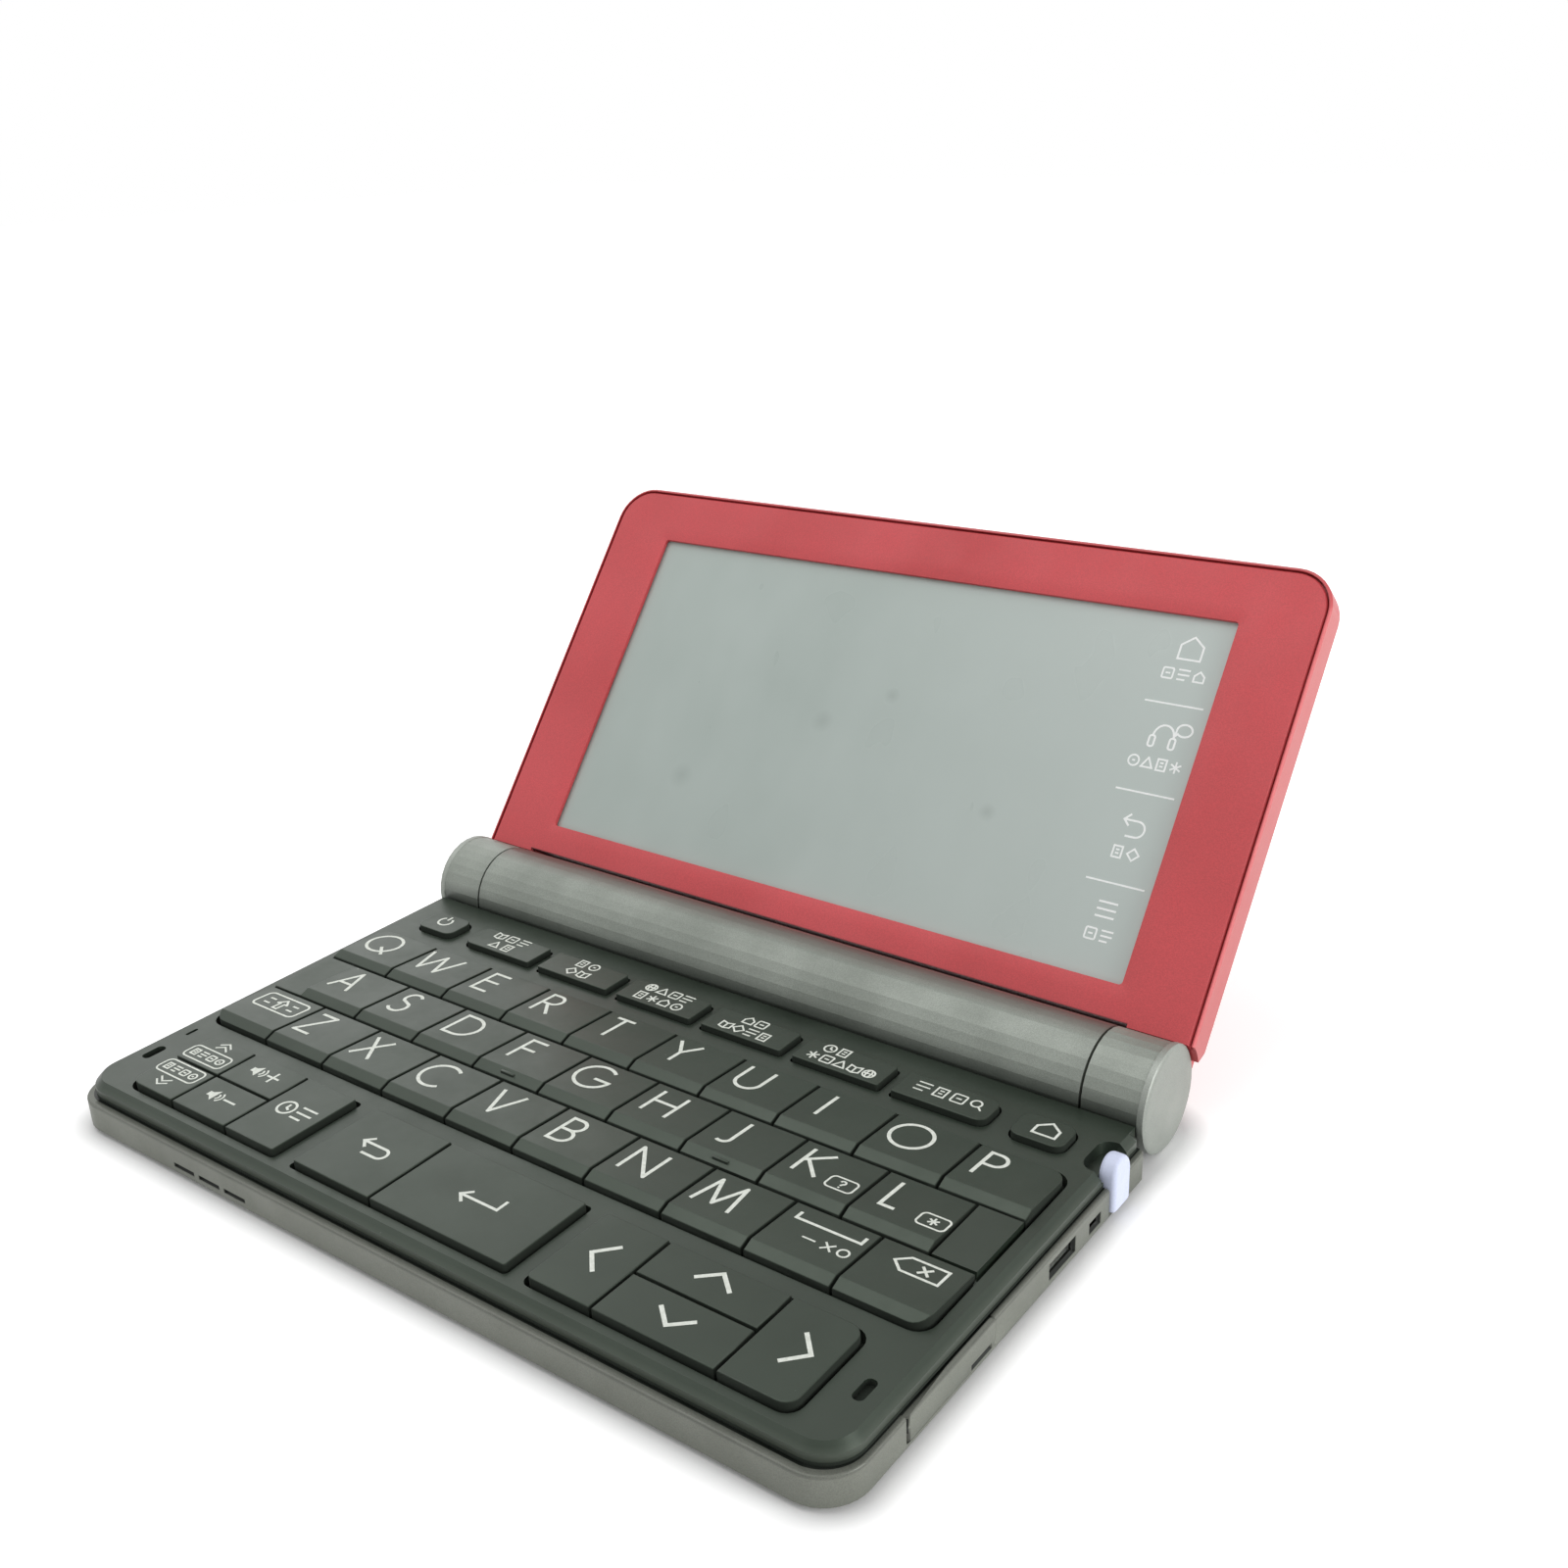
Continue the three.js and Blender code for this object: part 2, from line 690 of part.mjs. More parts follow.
function barrel() {
  const gapAngle = slideGap / barrelRadius;
  const bay = rod(-bayHalf, bayHalf, barrelY, barrelZ, bayRadius, barrelFacets);
  const doorway = ringSector(bayRadius - overrun, barrelRadius + overrun, doorStart - gapAngle,
    doorEnd + gapAngle, -doorHalf - slideGap, doorHalf + slideGap);
  const body = union([barrelBridge(), barrelTube(), ...barrelFeet()]);
  return body.subtract(bay).subtract(doorway).add(union(batteryContacts()));
}

function lowerCase() {
  const cuts = union([
    flapOpening(), ...speakerOpenings(), strapHole(), stylusOpenings(rimZ),
    sideWindow(socketY, socketWidth, socketZ, socketHeight),
    sideWindow(strapY, strapWidth, strapZ, strapHeight),
  ]);
  const shell = union([caseShell(), ...boardPosts()]).subtract(cuts);
  return union([shell, flapSill(), ...caseFeet(), barrel()]).subtract(flapPinHole());
}

// Upper case

// One pocket per group of keys, with corners that follow those of its outer keys.
function wells(keys) {
  const group = (names, leftCorner, rightCorner) => {
    const set = keys.filter((key) => names.includes(key.name));
    const [left, right] = [leftCorner + wellGap, rightCorner + wellGap];
    return {
      x0: Math.min(...set.map((key) => key.x0)) - wellGap,
      x1: Math.max(...set.map((key) => key.x1)) + wellGap,
      y0: Math.min(...set.map((key) => key.y0)) - wellGap,
      y1: Math.max(...set.map((key) => key.y1)) + wellGap,
      radii: [left, right, right, left],
    };
  };
  const letters = keys.filter((key) => key.ridgeX !== undefined).map((key) => key.name);
  const shared = [
    group(letters, letterCorner, letterCorner),
    group(['previous', 'next', 'history'], clusterCorner, innerCorner),
    group(['back', 'enter'], innerCorner, innerCorner),
    group(['left', 'right'], leftArrowCorner, clusterCorner),
  ];
  const single = keys.filter((key) => key.top).map((key) => group([key.name], key.radii[0], key.radii[1]));
  return [...shared, ...single];
}

function wellPocket({ x0, x1, y0, y1, radii }) {
  return plate(roundedOutline(x0, x1, y0, y1, radii), wellFloorZ, deckZ + overrun);
}

// Solid left standing round and under each well when the deck is hollowed.
function wellCup({ x0, x1, y0, y1 }) {
  return box(x0 - wellWall, x1 + wellWall, y0 - wellWall, y1 + wellWall, rimZ - overrun, deckZ + overrun);
}

function stemHole(key) {
  const { x, y } = stemPlace(key);
  const halfX = stemWidth / 2 + slideGap;
  const halfY = stemDepth / 2 + slideGap;
  return box(x - halfX, x + halfX, y - halfY, y + halfY, rimZ - overrun, wellFloorZ + overrun);
}

// Blank block that fills the end of the middle letter row.
function blankBlock(keys) {
  const { x1: lastX, y0, y1 } = keys.find((key) => key.name === 'l');
  const cell = capCell({ x0: lastX, x1: letterHalf, y0, y1 });
  return box(cell.x0, cell.x1, cell.y0, cell.y1, wellFloorZ - wellFloor / 2, letterEdgeZ);
}

function deckPockets() {
  const slot = (x, y, width, length) => plate(
    roundedOutline(x - width / 2, x + width / 2, y - length / 2, y + length / 2,
      Array(4).fill((width - seatGap) / 2)),
    deckZ - pocketDepth, deckZ + overrun);
  return [
    slot(-sideX + pocketInset, pocketY, pocketWidth, pocketLength),
    slot(sideX - pocketInset, pocketY, pocketWidth, pocketLength),
    slot(-sideX + slitInset, slitY, slitWidth, slitLength),
  ];
}

// Finger scoop on the inner side of the stylus tab.
function stylusScoop() {
  const half = scoopWidth / 2;
  const corners = [scoopCorner, 0, 0, scoopCorner];
  const outline = roundedOutline(tabX - scoopLength, sideX + overrun, scoopY - half, scoopY + half, corners);
  return plate(outline, deckZ - scoopDepth, deckZ + overrun);
}

function upperCase(keys) {
  const x = sideX - deckInset;
  const radii = [deckCorner, deckCorner, caseRearCorner, caseRearCorner];
  const outer = roundedSlab(-x, x, deckFrontInset, caseDepth - seatGap, radii, [
    [rimZ, 0], [deckZ - deckChamfer, 0], [deckZ, deckChamfer]]);
  const rearLip = box(-x + deckChamfer, x - deckChamfer, caseDepth - deckChamfer - overrun,
    caseDepth + barrelGap - slideGap, rimZ + slideGap, deckZ);
  const inner = roundedOutline(-x + skirtWall, x - skirtWall, deckFrontInset + skirtWall,
    caseDepth - seatGap - skirtWall, radii.map((radius) => Math.max(radius - skirtWall, 0)), wideArcSteps);
  const all = wells(keys);
  const scoopCup = box(tabX - scoopLength - wellWall, x, scoopY - scoopWidth / 2 - wellWall,
    scoopY + scoopWidth / 2 + wellWall, rimZ, deckZ);
  const cups = union([...all.map(wellCup), scoopCup]);
  const hollow = plate(inner, rimZ - overrun, deckZ - deckPlate).subtract(cups);
  const cuts = union([hollow, ...all.map(wellPocket), ...keys.map(stemHole), ...deckPockets(), stylusScoop(),
    stylusOpenings(deckZ)]);
  return outer.add(rearLip).subtract(cuts).add(blankBlock(keys));
}

// Circuit board with a dome under each key, the charging socket and the card socket

function dome(key) {
  const { x, y } = stemPlace(key);
  const radius = key.top ? topDomeRadius : domeRadius;
  const base = circle(radius, domeSides, x, y);
  const top = circle(radius / 2, domeSides, x, y);
  return loft([
    { z: boardTopZ - domeHeight, points: base }, { z: boardTopZ, points: base },
    { z: boardTopZ + domeHeight, points: top }]);
}

function chargingSocket() {
  const x1 = sideX - caseWall;
  const x0 = x1 - socketDepth;
  const half = socketWidth / 2;
  const shell = box(x0, x1 - seatGap, socketY - half, socketY + half, socketZ, socketZ + socketHeight);
  const mouth = box(x0 + socketShell, sideX, socketY - half + socketShell, socketY + half - socketShell,
    socketZ + socketShell, socketZ + socketHeight - socketShell);
  const z = socketZ + (socketHeight - tongueHeight) / 2;
  const tongue = box(x0, x0 + socketShell + tongueLength,
    socketY - tongueWidth / 2, socketY + tongueWidth / 2, z, z + tongueHeight);
  return { outline: shell, mouth, tongue };
}

function cardSocket() {
  const x1 = sideX - caseWall - seatGap - slideGap;
  const x0 = x1 - cardSocketDepth;
  const y = cardSlotY;
  const half = cardSlotWidth / 2;
  const body = box(x0, x1, y - half - cardSocketWall, y + half + cardSocketWall,
    boardTopZ - domeHeight, cardSocketTopZ);
  const z0 = (boardTopZ + cardSocketTopZ - cardSlotHeight) / 2;
  return body.subtract(box(x0 + cardSocketWall, sideX, y - half, y + half, z0, z0 + cardSlotHeight));
}

function mainBoard(keys) {
  const x = sideX - caseWall - boardSideGap;
  const outline = roundedOutline(-x, x, caseWall + boardFrontGap, boardRearY, [caseCorner, caseCorner, 0, 0]);
  const socket = chargingSocket();
  const clearance = box(x - strapHoleDepth - overrun, x + overrun, strapY - strapWidth / 2 - seatGap,
    boardRearY + overrun, boardZ - overrun, boardTopZ + overrun);
  const board = plate(outline, boardZ, boardTopZ).subtract(clearance);
  const body = union([board, ...keys.map(dome), socket.outline, cardSocket()]);
  return body.subtract(socket.mouth).add(socket.tongue);
}

// Stylus with a tall rounded tab that stands in the side of the case
function stylus() {
  const tipX = tabX - stylusLength;
  const shaft = turned([
    [tipX, 0], [tipX, stylusNib], [tipX + stylusTip, stylusRadius], [tabX + tabThickness / 2, stylusRadius],
    [tabX + tabThickness / 2, 0]], stylusY, stylusZ, 12);
  const topZ = closedFaceZ - tabHeadroom;
  const half = tabWidth / 2;
  const outline = [new THREE.Vector2(tabY - half, tabBottomZ), new THREE.Vector2(tabY + half, tabBottomZ)];
  for (let i = 0; i <= 2 * arcSteps; i++) {
    const angle = (Math.PI * i) / (2 * arcSteps);
    outline.push(new THREE.Vector2(tabY + half * Math.cos(angle), topZ - half + half * Math.sin(angle)));
  }
  return shaft.add(alongX(outline, tabX, tabX + tabThickness));
}

// Card flap with a rounded pivot end, a pin into the sill and a nail notch
function cardFlap() {
  const half = caseWall / 2;
  const pivotX = sideX - half;
  const pivotY = flapY + seatGap + half;
  const z0 = caseZ + sillHeight + seatGap;
  const z1 = rimZ - seatGap;
  const outline = [new THREE.Vector2(pivotX + half, flapY + flapLength - seatGap),
    new THREE.Vector2(pivotX - half, flapY + flapLength - seatGap)];
  for (let i = 0; i <= 2 * arcSteps; i++) {
    const angle = Math.PI + (Math.PI * i) / (2 * arcSteps);
    outline.push(new THREE.Vector2(pivotX + half * Math.cos(angle), pivotY + half * Math.sin(angle)));
  }
  const nailY = flapY + flapLength - seatGap - half;
  const nail = box(sideX - flapNailDepth, sideX + overrun, nailY - flapNailWidth, nailY,
    z0 - overrun, z0 + half);
  const pin = post(pivotX, pivotY, caseZ, z0 + seatGap, flapPinRadius, 12);
  return plate(outline, z0, z1).add(pin).subtract(nail);
}

// Battery cover, a curved panel out of the underside and back of the barrel
function batteryCover() {
  return ringSector(barrelRadius - doorWall, barrelRadius, doorStart, doorEnd, -doorHalf, doorHalf);
}

function batteries() {
  const x0 = -cellLength - cellNubLength / 2;
  const x1 = -cellNubLength / 2;
  const x2 = cellNubLength / 2;
  const x3 = cellLength + cellNubLength / 2;
  return turned([
    [x0, 0], [x0, cellRadius], [x1, cellRadius], [x1, cellNubRadius], [x2, cellNubRadius], [x2, cellRadius],
    [x3, cellRadius], [x3, cellNubRadius], [x3 + cellNubLength / 2, cellNubRadius],
    [x3 + cellNubLength / 2, 0],
  ], barrelY, barrelZ, 24);
}

// End knuckle: faceted drum, smooth domed cap, hinge pin and an arm into the lid
function knuckle(side) {
  const x0 = knuckleInnerX;
  const rimX = knuckleOuterX - capRimWidth;
  const drum = alongX(circle(barrelRadius, barrelFacets), x0, rimX + seatGap);
  const cap = turned([
    [rimX, 0], [rimX, capRimRadius - capDome / 2], [rimX + capDome / 2, capRimRadius],
    [knuckleOuterX - capDome, capRimRadius], [knuckleOuterX - capDome / 4, capRimRadius - capDome],
    [knuckleOuterX, capRimRadius / 2], [knuckleOuterX, 0]], 0, 0, barrelFacets);
  const pin = turned([[x0 - pinLength, 0], [x0 - pinLength, pinRadius], [x0 + overrun, pinRadius],
    [x0 + overrun, 0]], 0, 0, 16);
  const mouthZ = bezelZ - seatGap;
  const arm = box(x0 + coverWall + slideGap, sideX - coverWall - armSideGap, 0, barrelRadius + armReach,
    coverZ + coverFloor + slideGap, mouthZ - slideGap);
  const right = union([drum, cap, pin, arm]);
  return side > 0 ? right : right.mirror([1, 0, 0]);
}

// Lid outline in plan: a rounded panel whose two feet run down to the knuckles.
function lidBody(layers) {
  const radii = [lidFootCorner, lidFootCorner, lidCorner, lidCorner];
  const panel = roundedSlab(-sideX, sideX, lidHeelY, lidLength, radii, layers);
  const zs = layers.map(([z]) => z);
  const notch = box(-knuckleInnerX, knuckleInnerX, lidHeelY - overrun, lidFootY,
    Math.min(...zs) - overrun, Math.max(...zs) + overrun);
  const hollow = rod(-caseWidth, caseWidth, 0, 0, capRimRadius + slideGap, barrelFacets * 2);
  return panel.subtract(notch).subtract(hollow);
}

function screenBox(grow, z0, z1) {
  return box(-windowHalf - grow, windowHalf + grow, windowBottomY - grow, windowTopY + grow, z0, z1);
}

// Bezel with its window and the shallow sloping border round it
function lidBezel() {
  const body = lidBody([
    [bezelZ, bezelInset], [-lidFaceDrop - rimChamfer, bezelInset], [-lidFaceDrop, bezelInset + rimChamfer]]);
  const corner = [windowCorner, windowCorner, windowCorner, windowCorner];
  const outline = roundedOutline(-windowHalf, windowHalf, windowBottomY, windowTopY, corner);
  const b = windowBevel;
  const wide = roundedOutline(-windowHalf - b, windowHalf + b, windowBottomY - b, windowTopY + b,
    corner.map(() => windowBevelCorner));
  const slope = loft([
    { z: -lidFaceDrop - windowBevelDepth, points: outline },
    { z: -lidFaceDrop, points: wide }, { z: -lidFaceDrop + overrun, points: wide }]);
  return body.subtract(plate(outline, bezelZ - overrun, overrun)).subtract(slope);
}

// Wall of the back cover that stands round the bezel
function lidRim() {
  const mouthZ = bezelZ - seatGap;
  const shoulderZ = -lidFaceDrop - rimChamfer;
  const wall = lidBody([[mouthZ - coverFloor, 0], [shoulderZ, 0], [-lidFaceDrop, rimChamfer]]);
  const corners = [lidFootCorner, lidFootCorner, lidCorner - coverRim, lidCorner - coverRim];
  const half = sideX - coverRim;
  const inside = roundedOutline(-half, half, 0, lidLength - coverRim, corners, wideArcSteps);
  return wall.subtract(plate(inside, mouthZ - coverFloor - overrun, overrun));
}

// Back cover: a shallow tray with softened back edges and pads under the screen
function lidCover() {
  const mouthZ = bezelZ - seatGap;
  const edgeZ = coverZ + coverBack;
  const body = lidBody([
    [coverZ, coverBackInset], [edgeZ, coverEdgeInset], [edgeZ + coverEdge, 0], [mouthZ, 0]]);
  const innerCorners = [lidFootCorner, lidFootCorner, lidCorner - coverWall, lidCorner - coverWall];
  const inner = roundedOutline(-sideX + coverWall, sideX - coverWall, 0, lidLength - coverWall,
    innerCorners, wideArcSteps);
  const keep = box(-knuckleInnerX - coverWall, knuckleInnerX + coverWall, 0,
    lidFootY + coverWall, coverZ - overrun, mouthZ + overrun);
  const hollow = plate(inner, coverZ + coverFloor, mouthZ + overrun).subtract(keep);
  const screenBackZ = mouthZ - screenThickness;
  const padX = windowHalf - padSize;
  const pads = [windowBottomY + padSize, windowTopY - padSize].flatMap((y) => [-padX, 0, padX].map((x) =>
    box(x - padSize / 2, x + padSize / 2, y - padSize / 2, y + padSize / 2,
      coverZ + coverFloor / 2, screenBackZ - seatGap)));
  return union([body.subtract(hollow), lidRim(), ...pads]);
}

function screenPanel() {
  const mouthZ = bezelZ - seatGap;
  return screenBox(screenMargin, mouthZ - screenThickness, mouthZ);
}

// Assembly

const keys = [...letterKeys(), ...topKeys(), ...clusterKeys()];

addPiece(group, 'lower_case', lowerCase(), 'case');
addPiece(group, 'upper_case', upperCase(keys), 'deck');
addPiece(group, 'main_board', mainBoard(keys), 'board');
addPiece(group, 'battery_cover', batteryCover(), 'barrel');
addPiece(group, 'batteries', batteries(), 'cell');
addPiece(group, 'stylus', stylus(), 'stylus');
addPiece(group, 'card_flap', cardFlap(), 'case');
for (const key of keys) addPiece(group, `key_${key.name}`, keyBody(key), 'key');

lid.position.set(0, barrelY, barrelZ);
lid.rotation.x = THREE.MathUtils.degToRad(lidAngle);
addPiece(lid, 'lid_cover', lidCover(), 'lid');
addPiece(lid, 'lid_bezel', lidBezel(), 'bezel');
addPiece(lid, 'screen_panel', screenPanel(), 'screen');
addPiece(lid, 'knuckle_left', knuckle(-1), 'barrel');
addPiece(lid, 'knuckle_right', knuckle(1), 'barrel');
group.add(lid);

// The origin is the middle of the bounding box's underside.
group.updateMatrixWorld(true);
const bounds = new THREE.Box3().setFromObject(group, true);
const middle = bounds.getCenter(new THREE.Vector3());
group.position.set(-middle.x, -middle.y, -bounds.min.z);

export default group;
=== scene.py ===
import json
from math import ceil, cos, hypot, pi, radians, sin
import bpy
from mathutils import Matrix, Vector
from mathutils.geometry import delaunay_2d_cdt


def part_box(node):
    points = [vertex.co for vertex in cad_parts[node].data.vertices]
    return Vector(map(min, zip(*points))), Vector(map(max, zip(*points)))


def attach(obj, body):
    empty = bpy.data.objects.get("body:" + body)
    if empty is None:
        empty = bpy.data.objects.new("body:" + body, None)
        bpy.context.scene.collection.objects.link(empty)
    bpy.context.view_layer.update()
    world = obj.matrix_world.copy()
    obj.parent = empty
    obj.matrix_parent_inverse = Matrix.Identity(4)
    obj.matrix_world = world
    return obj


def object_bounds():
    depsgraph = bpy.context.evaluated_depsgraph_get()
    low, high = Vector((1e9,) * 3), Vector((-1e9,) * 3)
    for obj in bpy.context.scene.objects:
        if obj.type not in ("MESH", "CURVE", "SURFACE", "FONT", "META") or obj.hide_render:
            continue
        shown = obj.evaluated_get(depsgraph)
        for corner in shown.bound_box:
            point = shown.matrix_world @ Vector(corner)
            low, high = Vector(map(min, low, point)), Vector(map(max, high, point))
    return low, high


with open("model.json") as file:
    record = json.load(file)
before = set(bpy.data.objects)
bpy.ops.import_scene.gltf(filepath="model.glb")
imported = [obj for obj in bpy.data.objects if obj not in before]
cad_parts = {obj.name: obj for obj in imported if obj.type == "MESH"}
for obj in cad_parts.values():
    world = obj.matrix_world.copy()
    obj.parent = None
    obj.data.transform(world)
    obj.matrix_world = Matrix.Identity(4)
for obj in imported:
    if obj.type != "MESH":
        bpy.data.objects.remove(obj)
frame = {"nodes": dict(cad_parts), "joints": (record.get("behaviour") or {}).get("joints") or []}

cad_box = [list(corner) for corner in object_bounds()]

# Sizes and places below are in millimetres, and MM turns them into the scene's metres.
MM = 0.001

# Camera, as the photograph sees the object, placed from the lid's hinge
camera_from_hinge = (156.766, -200.455, 137.044)
camera_turn = (68.086, 2.217, 36.315)
camera_lens = 38.40565
camera_sensor = 36.0

# Lid, which leans back from the barrel's axis
lid_lean = 51.1
hinge = [joint for joint in frame["joints"] if joint["name"] == "lid_open"][0]
lid_axis = Vector(hinge["pos_m"]) / MM
screen_level = -2.9
notch_top = (9.1, 9.35)
outer_skin = 0.15
lip_half = 62.8
lip_along = (8.0, 9.1)
lip_level = (-6.2, -5.6)

# Wedge cut off each outer wall of the lid at its foot
cut_wall = 1.5
cut_block = 8.0
cut_slant = -39.2
cut_point = (8.35, -6.3)

# Case and deck, measured from the hinge, which lies over the middle of the barrel
case_half = 74.0
case_front = 87.1
case_corner = 6.5
case_rear = 9.0
deck_level = 8.1
rim_level = 5.4
knuckle_half = 63.0
cap_from = case_half - 2.1
barrel_from = lid_axis.y - case_rear + 0.3
front_y = lid_axis.y - case_front
socket_place = -34.4
socket_half = 3.9
socket_inside = 66.0

# Lower case: painted shade along its rim beside the deck, on its shoulder and inside its ports, and its
# rubber feet
rim_shade_floor = rim_level - 0.6
rim_shade_widths = (1.1, 0.75)
rim_shade_turn = (2.0, 8.0)
shoulder = (rim_level - 0.55, rim_level - 0.45)
port_shade_inset = 0.12
shell_inset = 1.1
ports_from = 1.2
flap_ports_from = 2.6
feet_top = 0.45

# Deck: painted shade in its wells and at its wall's foot but not in the finger scoop at the stylus, and a
# painted highlight on its outer wall
well_shade = (deck_level - 0.45, deck_level - 0.08)
well_inset = 4.75
front_well_inset = 2.9
front_wells = 30.0
scoop_from = 60.0
scoop_half = 6.5
wall_inset = 2.4
wall_highlight = (deck_level - 1.3, deck_level - 0.5)
wall_foot_shade = (rim_level + 0.45, rim_level + 0.65)

# Shade that the deck and the lid throw on the barrel
deck_shade = (deck_level + 0.1, deck_level + 3.2)
deck_shade_from = rim_level + 0.4
lid_shade = (4.6, 7.8)
deep_shade = 0.85

# Screen: how far across its painted sheen grows pale, and its dents as place across, place up the lid and
# radius
screen_far = (-15.0, 64.0)
screen_dents = ((-10.0, 46.2, 2.4), (2.2, 53.4, 1.7), (27.7, 36.6, 1.8), (-35.9, 30.3, 2.6))

# Paint and plastic
flake_size = 0.09
fine_relief = 0.006
coat_roughness = 0.25

# Key tops
edge_level = 8.75
ridge_setback = 1.8
flat_key_rise = 0.5
bevel_below_edge = 0.35

# Printed marks
ink_proud = 0.02
ink_depth = 0.01
arc_step = 12.0
miter_limit = 2.0
same_place = 1e-6
least_spread = 0.2
merge_distance = 1e-5
disc_sides = 12
letter_stroke = 0.58
icon_stroke = 0.4
arrow_stroke = 0.62
box_stroke = 0.3
fine_stroke = 0.3
strip_stroke = 0.34
strip_middle = 53.4
strip_divider = 10.1

# Stage: the floor in metres, its glow at three distances from the case, and the light of the room
floor_size = 6.0
floor_height = -0.00005
floor_tone = (0.86, 0.86, 0.86, 1)
floor_glow = (0.05, 0.5, 0.65)
glow_reach = (0.3, 4.6, 900.0)
world_level = 0.5

# Lamps: name, place and size in metres, and power in watts
lamps = (
    ("lamp_above", (-0.35, -0.1, 1.1), 0.9, 3.4), ("lamp_right", (1.15, 0.1, 0.32), 0.7, 8.0),
    ("lamp_left", (-1.15, 0.65, 0.62), 0.9, 1.7), ("lamp_front", (-0.62, -0.6, 0.8), 0.9, 1.0),
)

# Boxes that hold everything or nothing
far = 1000.0
everywhere = ((-far,) * 3, (far,) * 3)
nowhere = ((far,) * 3, (-far,) * 3)


# Colours

def tone(red, green, blue):
    """A colour given as it looks on a screen, 0 to 255, as the shader's linear numbers."""
    shares = (value / 255 for value in (red, green, blue))
    return tuple(v / 12.92 if v <= 0.04045 else ((v + 0.055) / 1.055) ** 2.4 for v in shares) + (1.0,)


CASE_TONES = (tone(115, 118, 109), tone(123, 126, 117))
DECK_TONES = (tone(32, 40, 32), tone(42, 50, 42))
KEY_TONES = (tone(30, 39, 30), tone(39, 48, 39))
GREY_GLOSS = (0.88, 1.0, 0.87, 1.0)
BARREL_TONES = (tone(128, 134, 126), tone(144, 150, 142))
CAP_TONES = (tone(145, 150, 143), tone(158, 163, 156))
LID_TONES = (tone(189, 70, 74), tone(196, 75, 79))
BEZEL_TONES = (tone(190, 66, 70), tone(203, 76, 81))
SCREEN_TONES = (tone(166, 178, 172), tone(180, 191, 186))
# Painted sheen: the pale tone towards the screen's right
SCREEN_SHEEN_TONE = tone(196, 205, 201)
DENT_TONE = tone(140, 150, 145)
METAL_TONE = tone(226, 228, 224)
# Painted highlight: the paler tone low on the deck's outer wall
WALL_HIGHLIGHT_TONE = tone(66, 72, 64)
SHADE_TONE = tone(44, 50, 44)
# Painted shade: the near-black put on key sides, in the deck's wells, along the case's rim and inside its
# ports
GAP_SHADE_TONE = tone(22, 27, 22)
# Painted shade: the darker tone on the case's shoulder, just below its rim
SHOULDER_SHADE_TONE = tone(34, 37, 33)
# Painted shade: dark red in the lid's notch over the barrel
NOTCH_SHADE_TONE = tone(84, 26, 28)
LID_SHADE_TONE = tone(88, 60, 56)
# Painted highlight: the pale pink on the lid's outer side walls
LID_SIDE_HIGHLIGHT_TONE = tone(214, 150, 145)
STYLUS_TONES = (tone(214, 221, 245), tone(228, 234, 253))
BOARD_TONES = (tone(20, 78, 44), tone(34, 98, 58))
SLEEVE_TONES = (tone(52, 66, 92), tone(72, 88, 116))
INK_TONES = (tone(214, 219, 209), tone(232, 236, 228))
STRIP_TONES = (tone(246, 250, 248), tone(254, 255, 254))
DUST_TONE = tone(190, 196, 188)
WHITE = (1, 1, 1, 1)
RUBBER_TONE = tone(38, 38, 36)


# Materials

def fill(tree, node, inputs):
    """Links another node's output to an input, or sets a fixed value on it."""
    for key, value in inputs.items():
        if isinstance(value, bpy.types.NodeSocket):
            tree.links.new(value, node.inputs[key])
        else:
            node.inputs[key].default_value = value


def made(tree, kind, inputs, output, **settings):
    """One output of a new node, given its inputs and settings."""
    node = tree.nodes.new(kind)
    for key, value in settings.items():
        setattr(node, key, value)
    fill(tree, node, inputs)
    return node.outputs[output]


